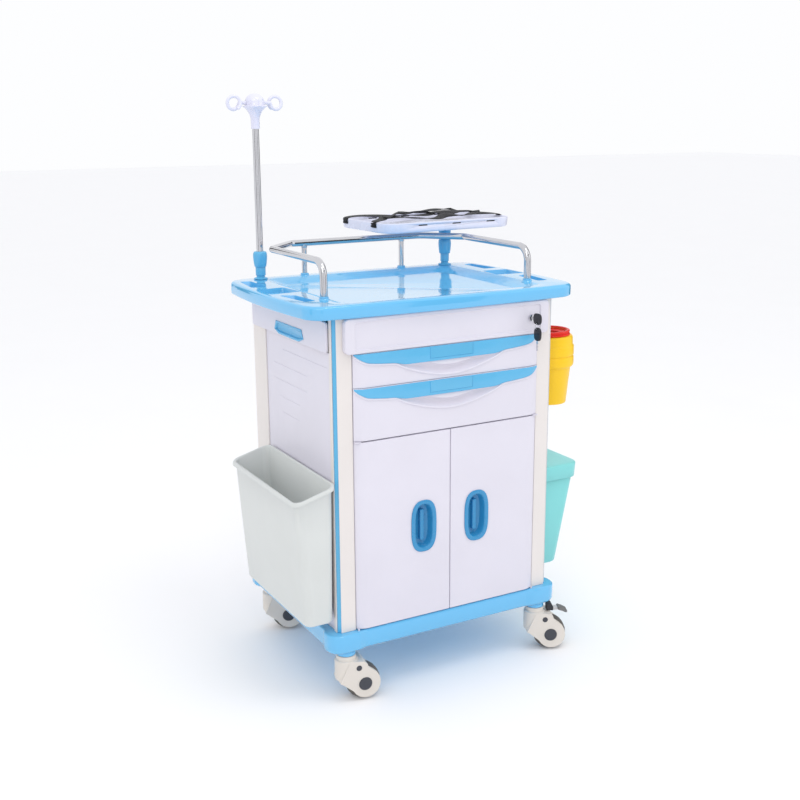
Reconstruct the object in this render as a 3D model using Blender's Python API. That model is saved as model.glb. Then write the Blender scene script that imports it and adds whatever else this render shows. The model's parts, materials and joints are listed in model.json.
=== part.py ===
"""Hospital emergency trolley: cabinet with drawers and doors, worktop tray, rail, IV pole,
defibrillator platform, waste bins and sharps container, on four swivel castors.

Metres, +Z up, floor at z = 0. The front faces -Y and +X is to the right of someone facing it.
Shapes are drawn about the middle of the cabinet, and the datum empty shifts the whole trolley
so that the origin is the middle of its overall box.
"""
import math

import bmesh
import bpy
from mathutils import Matrix, Vector

# Driving dimensions ------------------------------------------------------------------------
GAP = 0.0003                # clearance between pieces that touch
DATUM = (-0.02065, -0.06554)  # middle of the cabinet, seen from the middle of the overall box

HALF_W = 0.310              # outside of the corner columns
HALF_D = 0.244
CHAMFER = 0.0095            # corner chamfer of a column
COLUMN_IN = 0.262           # inner edge of a front column
BASE_LOW = 0.132
BASE_FRONT = 0.262          # depth of the base in front of and behind the middle of the cabinet
BASE_BACK = 0.280
BASE_TOP = 0.182
TRAY_LOW = 0.958
TRAY_TOP = 0.990
CABINET_TOP = TRAY_LOW - GAP
CABINET_LOW = BASE_TOP + GAP

FRONT_Y = -0.256            # middle of the drawer fronts and doors
FRONT_BACK_Y = -0.234
TOP_FRONT_Y = -0.260        # the top drawer's front stands proud of the columns
TOP_BACK_Y = -0.2445
DRAWER_Z = ((0.8732, 0.9565), (0.7900, 0.8723), (0.6620, 0.7890))
DRAWER_BOX_Z = ((0.8860, 0.9165), (0.7955, 0.8600), (0.6680, 0.7800))
FLANGE_Z = (0.9000, 0.8460, 0.7650)
FLANGE = 0.004
BOX_HALF = 0.250
DOOR_Z = (0.1850, 0.6590)
DOOR_PIVOT = (0.257, -0.250)
DECK_Z = (0.650, 0.657)

IV_POLE = (-0.286, 0.231)
POST = (0.277, 0.231)       # the platform's post
POLE_R = 0.0087
BORE_R = 0.0091
RAIL_Z = 1.0765
RAIL_R = 0.0090
RAIL_X = 0.288
RAIL_POST_Y = -0.158
RAIL_BACK_Y = 0.236
BACK_POSTS = (-0.158, 0.138)

CASTOR = (0.284, 0.231)
TRAIL = 0.040
WHEEL_R = 0.044
CASTOR_YAW = {"front_left": -8, "front_right": -24, "back_left": -18, "back_right": -10}

LOCK = (0.2327, 0.9142)
KEY_Y = -0.2835
RING_R = 0.0082

SHELF_Z = (0.922, 0.938)
PLATFORM = (0.245, 0.284)
PLATFORM_HALF = (0.2125, 0.137)
PLATFORM_Z = (1.095, 1.123)
PLATFORM_TURN = math.radians(3)

SHARPS = (0.386, -0.127)
TEAL_HINGE = (0.3170, 0.4850)


# Scene, materials and small helpers --------------------------------------------------------
for old in list(bpy.data.objects):
    bpy.data.objects.remove(old, do_unlink=True)

datum = bpy.data.objects.new("trolley_datum", None)
datum.location = (DATUM[0], DATUM[1], 0)
bpy.context.collection.objects.link(datum)


def material(name, colour, roughness, metallic=0.0):
    made = bpy.data.materials.new(name)
    made.use_nodes = True
    shader = made.node_tree.nodes["Principled BSDF"]
    shader.inputs["Base Color"].default_value = (*colour, 1)
    shader.inputs["Roughness"].default_value = roughness
    shader.inputs["Metallic"].default_value = metallic
    return made


CREAM = (0.80, 0.78, 0.76)
LAVENDER = (0.76, 0.74, 0.82)
BLUE = (0.13, 0.50, 0.80)
CHROME = (0.75, 0.75, 0.77)
WHITE = (0.86, 0.86, 0.92)
BLACK = (0.02, 0.02, 0.025)


def add_mesh(name, shape, colour, roughness=0.4, metallic=0.0, origin=(0, 0, 0), smooth=True):
    """Object from a bmesh drawn about the cabinet, with its own origin at `origin`."""
    bmesh.ops.recalc_face_normals(shape, faces=shape.faces)
    bmesh.ops.translate(shape, verts=shape.verts, vec=-Vector(origin))
    mesh = bpy.data.meshes.new(name)
    shape.to_mesh(mesh)
    shape.free()
    if smooth:
        mesh.shade_smooth()
        mesh.set_sharp_from_angle(angle=math.radians(35))
    made = bpy.data.objects.new(name, mesh)
    made.location = origin
    made.parent = datum
    mesh.materials.append(material(name, colour, roughness, metallic))
    bpy.context.collection.objects.link(made)
    return made


def combine(target, shape, operation):
    """Boolean modifier on `target` with a hidden tool object made from `shape`."""
    tool = add_mesh(f"{target.name}_tool_{len(target.modifiers)}", shape, BLACK, smooth=False)
    tool.hide_render = True
    tool.display_type = "WIRE"
    change = target.modifiers.new(operation.title(), "BOOLEAN")
    change.operation = operation
    change.solver = "EXACT"
    change.object = tool


def loft(loops):
    """Closed body through rings of the same number of points, its two ends capped."""
    shape = bmesh.new()
    rings = [[shape.verts.new(point) for point in loop] for loop in loops]
    count = len(rings[0])
    for low, high in zip(rings, rings[1:]):
        for i in range(count):
            j = (i + 1) % count
            shape.faces.new((low[i], low[j], high[j], high[i]))
    shape.faces.new(rings[0])
    shape.faces.new(rings[-1])
    return shape


def merge(*shapes):
    """One bmesh holding several separate bodies, for use as a Boolean tool."""
    whole = bmesh.new()
    for shape in shapes:
        mesh = bpy.data.meshes.new("scratch")
        shape.to_mesh(mesh)
        shape.free()
        whole.from_mesh(mesh)
        bpy.data.meshes.remove(mesh)
    return whole


def prism(outline, low, high, axis="Z"):
    """Outline extruded from `low` to `high` along Z, or along Y or X from (x, z) or (y, z)."""
    place = {
        "Z": lambda a, b, c: (a, b, c),
        "Y": lambda a, b, c: (a, c, b),
        "X": lambda a, b, c: (c, a, b),
    }[axis]
    return loft([[place(a, b, c) for a, b in outline] for c in (low, high)])


def block(x, y, z):
    return prism([(x[0], y[0]), (x[1], y[0]), (x[1], y[1]), (x[0], y[1])], z[0], z[1])


def turned(profile, centre, steps=20, axis=(0, 0, 1), closed=False):
    """Body of revolution from (radius, height) points, about `axis` through `centre`.

    An open profile starts and ends on the axis, and a closed one makes a ring.
    """
    shape = bmesh.new()
    rings = []
    for radius, height in profile:
        if radius == 0:
            rings.append([shape.verts.new((0, 0, height))])
            continue
        angles = [2 * math.pi * i / steps for i in range(steps)]
        rings.append([shape.verts.new((radius * math.cos(a), radius * math.sin(a), height)) for a in angles])
    pairs = list(zip(rings, rings[1:]))
    if closed:
        pairs.append((rings[-1], rings[0]))
    for low, high in pairs:
        for i in range(steps):
            j = (i + 1) % steps
            if len(low) == 1:
                shape.faces.new((low[0], high[j], high[i]))
            elif len(high) == 1:
                shape.faces.new((low[i], low[j], high[0]))
            else:
                shape.faces.new((low[i], low[j], high[j], high[i]))
    turn = Vector((0, 0, 1)).rotation_difference(Vector(axis)).to_matrix().to_4x4()
    bmesh.ops.transform(shape, matrix=Matrix.Translation(centre) @ turn, verts=shape.verts)
    return shape


def cylinder(radius, low, high, centre, steps=20, axis=(0, 0, 1)):
    return turned([(0, low), (radius, low), (radius, high), (0, high)], centre, steps, axis)


def swept(path, radius, sides=10, closed=False):
    """Round bar along a path of points, turned along with it so that it doesn't twist."""
    points = [Vector(p) for p in path]
    count = len(points)
    tangents = []
    for i in range(count):
        before = points[i - 1] if closed or i else points[0]
        after = points[(i + 1) % count] if closed or i < count - 1 else points[i]
        tangents.append((after - before).normalized())
    side = tangents[0].orthogonal().normalized()
    loops = []
    for i, (point, tangent) in enumerate(zip(points, tangents)):
        if i:
            side.rotate(tangents[i - 1].rotation_difference(tangent))
        up = tangent.cross(side)
        angles = [2 * math.pi * k / sides for k in range(sides)]
        loops.append([point + radius * (math.cos(a) * side + math.sin(a) * up) for a in angles])
    if not closed:
        return loft(loops)
    shape = bmesh.new()
    rings = [[shape.verts.new(p) for p in loop] for loop in loops]
    for low, high in zip(rings, rings[1:] + rings[:1]):
        for k in range(sides):
            m = (k + 1) % sides
            shape.faces.new((low[k], low[m], high[m], high[k]))
    return shape


def rounded_path(corners, radii, steps=5):
    """Points along straight runs with each inner corner replaced by an arc of its own radius."""
    points = [Vector(corners[0])]
    for before, corner, after, radius in zip(corners, corners[1:], corners[2:], radii):
        corner = Vector(corner)
        inward = (Vector(before) - corner).normalized()
        onward = (Vector(after) - corner).normalized()
        half = inward.angle(onward) / 2
        reach = radius / math.tan(half)
        centre = corner + (inward + onward).normalized() * radius / math.sin(half)
        start = corner + inward * reach - centre
        turn = start.rotation_difference(corner + onward * reach - centre)
        for i in range(steps + 1):
            arm = start.copy()
            arm.rotate(Matrix.Rotation(turn.angle * i / steps, 3, turn.axis))
            points.append(centre + arm)
    points.append(Vector(corners[-1]))
    return points


def rounded_rect(half_x, half_y, radius, centre=(0, 0), steps=4, turn=0.0):
    """Corner arcs of a rounded rectangle, as one outline of (x, y) points."""
    outline = []
    for corner in range(4):
        sx, sy = ((1, 1), (-1, 1), (-1, -1), (1, -1))[corner]
        for i in range(steps + 1):
            angle = math.pi / 2 * (corner + i / steps)
            x = sx * (half_x - radius) + radius * math.cos(angle)
            y = sy * (half_y - radius) + radius * math.sin(angle)
            outline.append((
                centre[0] + x * math.cos(turn) - y * math.sin(turn),
                centre[1] + x * math.sin(turn) + y * math.cos(turn),
            ))
    return outline


def raised(outline, height):
    return [(x, y, height) for x, y in outline]


def mirrored(outline):
    return [(-x, y) for x, y in outline]


def sided(outline, side):
    return outline if side > 0 else mirrored(outline)


SIDES = (("left", -1), ("right", 1))


# Base with castor stems --------------------------------------------------------------------
def base_outline(inset):
    """Slab with rounded corner lobes that stand 7 mm proud of its straight sides."""
    half_x = 0.336 - inset
    radius = 0.034 - inset / 2
    relief = 0.007

    def half(depth):
        end = depth - inset
        corner = [
            (half_x - radius + radius * math.cos(a), end - radius + radius * math.sin(a))
            for a in (math.radians(15 * i) for i in range(7))
        ]
        quarter = [(half_x - relief, depth - 0.062), (half_x, depth - 0.045), *corner]
        quarter += [(0.262, end), (0.235, end - relief)]
        return quarter + mirrored(quarter)[::-1]

    return half(BASE_BACK) + [(-x, -y) for x, y in half(BASE_FRONT)]


def build_base():
    levels = (
        (BASE_LOW, 0.009), (BASE_LOW + 0.003, 0.004), (BASE_LOW + 0.009, 0),
        (BASE_TOP - 0.004, 0), (BASE_TOP - 0.001, 0.0015), (BASE_TOP, 0.004),
    )
    base = add_mesh("base_chassis", loft([raised(base_outline(i), z) for z, i in levels]), BLUE, 0.25)
    stem = ((0, 0.0845), (0.009, 0.0845), (0.009, 0.1204), (0.0235, 0.1204), (0.0235, 0.1360), (0, 0.1360))
    stems = [turned(stem, (x, y, 0)) for x in (-CASTOR[0], CASTOR[0]) for y in (-CASTOR[1], CASTOR[1])]
    combine(base, merge(*stems), "UNION")
    holes = [cylinder(0.0028, 0.174, 0.190, (s * DOOR_PIVOT[0], DOOR_PIVOT[1], 0), 12) for s in (-1, 1)]
    combine(base, merge(*holes), "DIFFERENCE")


# Corner columns, strips and panels ---------------------------------------------------------
def chamfer_frame():
    """Front end, direction and inward normal of a front column's chamfer."""
    start = Vector((HALF_W - CHAMFER, -HALF_D))
    along = Vector((1, 1)).normalized()
    inward = Vector((-1, 1)).normalized()
    return start, along, inward


def front_column_outline():
    lip = 0.0011
    depth = 0.0053
    length = CHAMFER * math.sqrt(2)
    start, along, inward = chamfer_frame()
    near = start + along * lip
    far = start + along * (length - lip)
    return [
        (COLUMN_IN, -HALF_D), tuple(start), tuple(near), tuple(near + inward * depth),
        tuple(far + inward * depth), tuple(far), (HALF_W, CHAMFER - HALF_D), (HALF_W, -0.2225),
        (0.298, -0.2225), (0.298, -0.205), (COLUMN_IN, -0.205),
    ]


def strip_outline():
    lip = 0.0011 + GAP
    length = CHAMFER * math.sqrt(2)
    start, along, inward = chamfer_frame()
    near = start + along * lip
    far = start + along * (length - lip)
    return [tuple(p + inward * d) for p, d in ((near, 0.003), (far, 0.003), (far, 0.005), (near, 0.005))]


BACK_COLUMN = [
    (HALF_W, 0.1545), (HALF_W, HALF_D - CHAMFER), (HALF_W - CHAMFER, HALF_D), (0.250, HALF_D),
    (0.250, 0.236), (0.264, 0.236), (0.264, 0.217), (0.298, 0.217), (0.298, 0.1545),
]


def build_columns():
    for name, side in SIDES:
        outline = sided(front_column_outline(), side)
        add_mesh(f"column_front_{name}", prism(outline, CABINET_LOW, CABINET_TOP), CREAM, 0.45)
        strip = prism(sided(strip_outline(), side), CABINET_LOW + GAP, CABINET_TOP - GAP)
        add_mesh(f"column_strip_{name}", strip, BLUE, 0.3)
        back = prism(sided(BACK_COLUMN, side), CABINET_LOW, CABINET_TOP)
        column = add_mesh(f"column_back_{name}", back, CREAM, 0.45)
        pole = IV_POLE if side < 0 else POST
        combine(column, cylinder(BORE_R, 0.560, 0.970, (*pole, 0), 16), "DIFFERENCE")


PANEL_X = (0.303, 0.307)
RAIL_OUT = 0.3130
HANGER_LEG = (0.3078, 0.3104)


def hook_rail(side, y_mid, half, z):
    """Ledge with an upturned lip on a side panel, which a container's hanger drops over."""
    foot = block(sorted((side * 0.3060, side * RAIL_OUT)), (y_mid - half, y_mid + half), (z, z + 0.005))
    lip = block(sorted((side * 0.3112, side * RAIL_OUT)), (y_mid - half, y_mid + half), (z + 0.002, z + 0.020))
    return foot, lip


def hanger(side, y_mid, half, z, reach):
    """Downturned hook that joins a container's wall at `reach` and drops behind the lip."""
    bar = block(sorted((side * HANGER_LEG[0], side * reach)), (y_mid - half, y_mid + half), (z + 0.0235, z + 0.028))
    leg_x = sorted((side * HANGER_LEG[0], side * HANGER_LEG[1]))
    leg = block(leg_x, (y_mid - half, y_mid + half), (z + 0.008, z + 0.026))
    return bar, leg


GREY_Y = -0.053
TEAL_Y = -0.055
HOOK_Z = {"grey": 0.500, "teal": 0.380, "sharps": 0.700}


def build_panels():
    tops = {"left": 0.8735, "right": CABINET_TOP}
    hooks = {
        "left": (("grey", GREY_Y, 0.050),),
        "right": (("teal", TEAL_Y, 0.050), ("sharps", SHARPS[1], 0.030)),
    }
    for name, side in SIDES:
        body = block(sorted(side * x for x in PANEL_X), (-0.2222, 0.1542), (CABINET_LOW, tops[name]))
        panel = add_mesh(f"side_panel_{name}", body, LAVENDER, 0.45)
        rails = []
        for kind, y_mid, half in hooks[name]:
            for piece in hook_rail(side, y_mid, half, HOOK_Z[kind]):
                combine(panel, piece, "UNION")
        lines = []
        for z, front, back in (
            (0.836, -0.204, 0.052), (0.794, -0.090, 0.107), (0.754, -0.088, 0.110),
            (0.711, -0.044, 0.081), (0.671, -0.041, 0.058),
        ):
            lines.append(block(sorted((side * 0.3062, side * 0.3080)), (front, back), (z, z + 0.002)))
        combine(panel, merge(*lines), "DIFFERENCE")
    back = block((-0.2497, 0.2497), (0.2375, 0.2425), (CABINET_LOW, CABINET_TOP))
    add_mesh("back_panel", back, LAVENDER, 0.45)


# Inside of the cabinet ---------------------------------------------------------------------
def build_inside():
    half = [(0.2615, -0.2325), (0.2615, -0.2045), (0.3025, -0.2045), (0.3025, 0.1540),
            (0.2975, 0.1540), (0.2975, 0.2165), (0.2635, 0.2165), (0.2635, 0.2355)]
    deck = add_mesh("drawer_deck", prism(half + mirrored(half)[::-1], *DECK_Z), LAVENDER, 0.5)
    for side in (-1, 1):
        x = sorted((side * 0.2460, side * 0.2612))
        combine(deck, block(x, (-0.2325, -0.2260), (0.6520, 0.6615)), "UNION")
        combine(deck, block(x, (-0.2560, -0.2290), (0.6597, 0.6615)), "UNION")
        pivot = (side * DOOR_PIVOT[0], DOOR_PIVOT[1], 0)
        combine(deck, cylinder(0.0028, 0.655, 0.665, pivot, 12), "DIFFERENCE")
    add_mesh("cupboard_shelf", block((-0.3022, 0.3022), (-0.2035, 0.1535), (0.416, 0.424)), WHITE, 0.4)
    plate = (0.2640, 0.2680)
    ledge_in = 0.2525
    for name, side in SIDES:
        outline = [(plate[1], DECK_Z[1] + GAP), (plate[1], 0.9170), (plate[0], 0.9170)]
        for z in FLANGE_Z:
            top = z - 0.0004
            outline += [(plate[0], top), (ledge_in, top), (ledge_in, top - 0.004), (plate[0], top - 0.004)]
        outline.append((plate[0], DECK_Z[1] + GAP))
        shape = prism([(side * x, z) for x, z in outline], -0.203, 0.153, "Y")
        add_mesh(f"runner_panel_{name}", shape, CHROME, 0.35, 1.0)


# Worktop tray ------------------------------------------------------------------------------
def tray_outline(inset, bulge=1.0):
    """Tray edge: sides and front bowed outwards, corners rounded, as one (x, y) outline."""
    half_x = 0.3735 - inset
    front = 0.264 - inset
    back = 0.264 - inset
    radius = 0.052 - inset / 2
    bow_side = 0.0115 * bulge
    bow_front = 0.010 * bulge
    points = []
    flat = 7
    corners = ((half_x, back, 1, 1), (-half_x, back, -1, 1), (-half_x, -front, -1, -1), (half_x, -front, 1, -1))
    for index, (cx, cy, sx, sy) in enumerate(corners):
        for i in range(5):
            angle = math.pi / 2 * (index + i / 4)
            points.append((cx - sx * radius + radius * math.cos(angle), cy - sy * radius + radius * math.sin(angle)))
        after = corners[(index + 1) % 4]
        start = points[-1]
        if index % 2 == 0:
            end = (after[0] - after[2] * radius, after[1])
            bow = 0.003 * bulge if index == 0 else bow_front
            normal = (0, sy)
        else:
            end = (after[0], after[1] - after[3] * radius)
            bow = bow_side
            normal = (sx, 0)
        for k in range(1, flat):
            t = k / flat
            lift = bow * 4 * t * (1 - t)
            x = start[0] + (end[0] - start[0]) * t + normal[0] * lift
            y = start[1] + (end[1] - start[1]) * t + normal[1] * lift
            points.append((x, y))
    return points


POCKETS = (
    ((0.3275, 0.1040), (0.3640, 0.1020), (0.3510, 0.2080), (0.3270, 0.2000)),
    ((0.2900, -0.0190), (0.3650, -0.0260), (0.3665, 0.0540), (0.2980, 0.0590)),
    ((0.3160, -0.1650), (0.3420, -0.1670), (0.3560, -0.0570), (0.3235, -0.0740)),
)


def rounded_polygon(corners, radius, steps=2):
    """Polygon of (x, y) corners with an arc at each one."""
    count = len(corners)
    ends = [(*c, 0) for c in (corners[-1], *corners, corners[0])]
    outline = []
    for i in range(1, count + 1):
        before = (Vector(ends[i - 1]) + Vector(ends[i])) / 2
        after = (Vector(ends[i + 1]) + Vector(ends[i])) / 2
        arc = rounded_path((before, ends[i], after), [radius], steps)[1:-1]
        outline += [(p.x, p.y) for p in arc]
    return outline


def recess_outline(half_x, front, back, radius, like):
    """Rounded rectangle sampled at the same bearings as the outline `like`."""
    mid = (back + front) / 2
    half_y = (back - front) / 2
    points = []
    for x, y in like:
        scale = max(abs(x) / half_x, abs(y - mid) / half_y)
        px, py = x / scale, (y - mid) / scale
        qx, qy = half_x - radius, half_y - radius
        if abs(px) > qx and abs(py) > qy:
            corner = Vector((math.copysign(qx, px), math.copysign(qy, py)))
            bearing = (Vector((px, py)) - corner).normalized()
            px, py = corner + bearing * radius
        points.append((px, py + mid))
    return points


def build_tray():
    edge = tray_outline(0)
    levels = ((TRAY_LOW, 0.003), (TRAY_LOW + 0.004, 0), (TRAY_TOP - 0.007, 0), (TRAY_TOP - 0.002, 0.002), (TRAY_TOP, 0.006))
    loops = [raised(tray_outline(inset), z) for z, inset in levels]
    loops.append(raised(recess_outline(0.285, -0.238, 0.222, 0.035, edge), TRAY_TOP))
    loops.append(raised(recess_outline(0.276, -0.230, 0.213, 0.030, edge), TRAY_TOP - 0.003))
    loops.append(raised(recess_outline(0.240, -0.205, 0.186, 0.020, edge), TRAY_TOP - 0.014))
    tray = add_mesh("worktop_tray", loft(loops), BLUE, 0.12)
    pockets = []
    for side in (-1, 1):
        for corners in POCKETS:
            wide = rounded_polygon(corners, 0.006)
            mid = sum((Vector(c) for c in corners), Vector((0, 0))) / 4
            narrow = [tuple(mid + (Vector(p) - mid) * 0.84) for p in wide]
            levels = ((narrow, TRAY_TOP - 0.011), (wide, TRAY_TOP + 0.002))
            pockets.append(loft([raised(sided(outline, side), z) for outline, z in levels]))
    combine(tray, merge(*pockets), "DIFFERENCE")
    bores = [cylinder(BORE_R, 0.950, 1.000, (*pole, 0), 16) for pole in (IV_POLE, POST)]
    combine(tray, merge(*bores), "DIFFERENCE")
    for x in (-RAIL_X, RAIL_X):
        combine(tray, rail_boss(x, RAIL_POST_Y, 0.011), "UNION")
    for x in BACK_POSTS:
        combine(tray, rail_boss(x, RAIL_BACK_Y, 0.011), "UNION")
    web_top = TRAY_LOW + 0.002
    ledge = (0.9178, SHELF_Z[0] - 0.0004)
    for edge_y, step in ((-0.1505, -1), (0.1405, 1)):
        web = block((-0.295, 0.215), sorted((edge_y, edge_y + step * 0.0055)), (ledge[0], web_top))
        foot = block((-0.295, 0.215), sorted((edge_y - step * 0.012, edge_y + step * 0.0050)), ledge)
        combine(tray, web, "UNION")
        combine(tray, foot, "UNION")
    keeper = block((0.214, 0.251), (-0.2420, -0.2388), (0.9300, web_top))
    combine(tray, keeper, "UNION")


def rail_boss(x, y, radius):
    """Raised collar moulded on the tray, on which a rail post stands."""
    profile = ((0, -0.003), (radius, -0.003), (radius, 0.004), (radius - 0.0015, 0.007), (0, 0.007))
    return turned(profile, (x, y, TRAY_TOP), 16)


# Guard rail --------------------------------------------------------------------------------
def build_rail():
    foot = TRAY_TOP + 0.007 + GAP
    run = [
        (-RAIL_X, RAIL_POST_Y, foot), (-RAIL_X, RAIL_POST_Y, RAIL_Z), (-RAIL_X, 0.145, RAIL_Z),
        (-0.198, RAIL_BACK_Y, RAIL_Z),
    ]
    bends = (0.036, 0.020, 0.028)
    path = rounded_path(run + [(-x, y, z) for x, y, z in reversed(run)], bends + bends[::-1])
    rail = add_mesh("guard_rail", swept(path, RAIL_R, 10), CHROME, 0.15, 1.0)
    for x in BACK_POSTS:
        combine(rail, cylinder(0.0068, foot, RAIL_Z - 0.002, (x, RAIL_BACK_Y, 0), 10), "UNION")


# IV pole and defibrillator platform --------------------------------------------------------
def socket(radius, flange):
    low = TRAY_TOP + GAP
    return [
        (BORE_R, low), (flange, low), (flange, low + 0.003), (0.012, low + 0.005), (0.011, low + 0.008),
        (radius, low + 0.010), (radius, 1.0310), (BORE_R, 1.0310),
    ]


KNOB = ((BORE_R, 1.0314), (0.0130, 1.0314), (0.0158, 1.0400), (0.0168, 1.0500), (0.0158, 1.0590),
        (0.0130, 1.0615), (BORE_R, 1.0615))


def pigtail(side):
    """Arm out of the head, then a loop and a quarter that drifts forward as it turns."""
    reach = 0.0590
    radius = 0.0160
    centre_z = 1.4365
    centre = Vector((side * (reach), 0, centre_z))
    points = []
    steps = 22
    for i in range(steps + 1):
        angle = math.pi * (1 + 2.35 * i / steps)
        drift = side * 0.0135 * i / steps
        x = centre.x + side * radius * math.cos(angle)
        points.append((x, drift, centre.z + radius * math.sin(angle)))
    return points


def build_iv_pole():
    x, y = IV_POLE
    add_mesh("iv_socket", turned(socket(0.013, 0.0205), (x, y, 0), 20, closed=True), BLUE, 0.25)
    add_mesh("iv_knob", turned(KNOB, (x, y, 0), 20, closed=True), BLUE, 0.3, origin=(x, y, 1.046))
    pole = cylinder(POLE_R, 0.580, 1.3900, (x, y, 0), 20)
    add_mesh("iv_pole", pole, CHROME, 0.12, 1.0, origin=(x, y, 0.580))
    bore = POLE_R + GAP
    profile = (
        (0, 1.3905), (bore, 1.3905), (bore, 1.3725), (0.0112, 1.3725), (0.0112, 1.3990), (0.0160, 1.4140),
        (0.0310, 1.4270), (0.0310, 1.4292), (0.0245, 1.4305), (0.0243, 1.4440), (0.0190, 1.4535),
        (0.0100, 1.4586), (0, 1.4600),
    )
    head = add_mesh("iv_head", turned(profile, (x, y, 0), 20), WHITE, 0.35)
    left = pigtail(-1)
    right = pigtail(1)
    path = [(px + x, py + y, pz) for px, py, pz in left[::-1] + right]
    hooks = swept(path, 0.0044, 8)
    add_mesh("iv_hooks", hooks, WHITE, 0.3, origin=(x, y, 1.4365))
    combine(head, cylinder(0.0050, -0.040, 0.040, (x, y, 1.4365), 12, (1, 0, 0)), "DIFFERENCE")


def platform_loop(inset, height):
    outline = rounded_rect(
        PLATFORM_HALF[0] - inset, PLATFORM_HALF[1] - inset, 0.045 - inset, PLATFORM, 5, PLATFORM_TURN)
    return raised(outline, height)


def strap(name, left_y, right_y, height):
    """Flat webbing laid across the platform, with both ends turned down outside the rim."""
    half_width = 0.0125
    thick = 0.002
    turn = Matrix.Rotation(PLATFORM_TURN, 3, "Z")
    edge = PLATFORM_HALF[0]
    route = [
        (-edge - 0.0028, left_y, 1.104), (-edge - 0.0028, left_y, height - 0.002), (-edge + 0.002, left_y, height),
        (edge - 0.002, right_y, height), (edge + 0.0028, right_y, height - 0.002), (edge + 0.0028, right_y, 1.104),
    ]
    inner = [(-edge - 0.0008, 1.104), (-edge - 0.0008, height - 0.0035), (-edge + 0.002, height - thick),
             (edge - 0.002, height - thick), (edge + 0.0008, height - 0.0035), (edge + 0.0008, 1.104)]
    loops = []
    for (x, y, z), (inner_x, inner_z) in zip(route, inner):
        ring = [(x, y - half_width, z), (x, y + half_width, z),
                (inner_x, y + half_width, inner_z), (inner_x, y - half_width, inner_z)]
        loops.append([turn @ Vector(p) + Vector((*PLATFORM, 0)) for p in ring])
    add_mesh(name, loft(loops), BLACK, 0.6, smooth=False)


def build_platform():
    x, y = POST
    low, high = PLATFORM_Z
    add_mesh("platform_socket", turned(socket(0.0120, 0.0185), (x, y, 0), 20, closed=True), BLUE, 0.25)
    add_mesh("platform_knob", turned(KNOB, (x, y, 0), 20, closed=True), BLUE, 0.3, origin=(x, y, 1.046))
    post = (
        (0, 0.600), (POLE_R, 0.600), (POLE_R, 1.0660), (0.0170, 1.0690), (0.0170, low - GAP),
        (0.0065, low - GAP), (0.0065, low + 0.0055), (0, low + 0.0055),
    )
    add_mesh("platform_post", turned(post, (x, y, 0), 20), BLUE, 0.3, origin=(x, y, 0.600))
    loops = [
        platform_loop(0.009, low), platform_loop(0.003, low + 0.003), platform_loop(0, high - 0.002),
        platform_loop(0.0015, high), platform_loop(0.0050, high), platform_loop(0.0110, low + 0.009),
    ]
    tray = add_mesh("platform_tray", loft(loops), WHITE, 0.35, origin=(x, y, low))
    combine(tray, cylinder(0.0068, low - 0.004, low + 0.006, (x, y, 0), 16), "DIFFERENCE")
    turn = Matrix.Rotation(PLATFORM_TURN, 4, "Z")
    for index, slot_x in enumerate((-0.067, 0.027, 0.122)):
        slot = block((slot_x - 0.012, slot_x + 0.012), (-0.145, -0.122), (1.1095, 1.1125))
        bmesh.ops.transform(slot, matrix=Matrix.Translation((*PLATFORM, 0)) @ turn, verts=slot.verts)
        combine(tray, slot, "DIFFERENCE")
    strap("platform_strap_a", 0.060, -0.060, high + 0.0026)
    strap("platform_strap_b", -0.060, 0.060, high + 0.0052)


# Drawers -----------------------------------------------------------------------------------
def fade(x, half, width, depth):
    """How far a front's surface falls back near its outer vertical edge."""
    over = max(0.0, abs(x) - (half - width)) / width
    return depth * over * over


def front_stations(half, extra=()):
    inner = [0, 0.040, 0.075, 0.105, *extra]
    outer = [half - 0.030, half - 0.018, half - 0.009, half - 0.003, half]
    right = sorted(set(inner + outer))
    return [-x for x in reversed(right[1:])] + right


def build_top_front():
    low, high = DRAWER_Z[0]
    half = 0.287
    loops = []
    for x in (-half, 0.004 - half, 0.012 - half, -0.15, 0, 0.15, half - 0.012, half - 0.004, half):
        y = TOP_FRONT_Y + fade(x, half, 0.012, 0.0070) + 0.0015 * (x / half) ** 2
        corner = 0.010 * max(0.0, abs(x) - (half - 0.012)) / 0.012
        loops.append([
            (x, TOP_BACK_Y, low + corner), (x, y + 0.003, low + corner), (x, y, low + corner + 0.003),
            (x, y, high - 0.003), (x, y + 0.003, high), (x, TOP_BACK_Y, high),
        ])
    front = add_mesh("drawer_1_front", loft(loops), LAVENDER, 0.4)
    combine(front, panel_groove(), "DIFFERENCE")
    combine(front, cylinder(0.0078, -0.30, -0.22, (LOCK[0], 0, LOCK[1]), 20, (0, 1, 0)), "DIFFERENCE")


def panel_groove():
    """Ring-shaped cutter for the groove round the top drawer's panel."""
    outer = [(px, pz + 0.9148) for px, pz in rounded_rect(0.2610, 0.0340, 0.006, steps=3)]
    inner = [(px, pz + 0.9148) for px, pz in rounded_rect(0.2590, 0.0320, 0.005, steps=3)]
    front = TOP_FRONT_Y - 0.004
    back = TOP_FRONT_Y + 0.0018
    shape = bmesh.new()
    rings = []
    for outline, y in ((outer, front), (outer, back), (inner, back), (inner, front)):
        rings.append([shape.verts.new((x, y, z)) for x, z in outline])
    for low, high in zip(rings, rings[1:] + rings[:1]):
        for i in range(len(low)):
            j = (i + 1) % len(low)
            shape.faces.new((low[i], low[j], high[j], high[i]))
    return shape


LIP_HALF = 0.130


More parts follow.
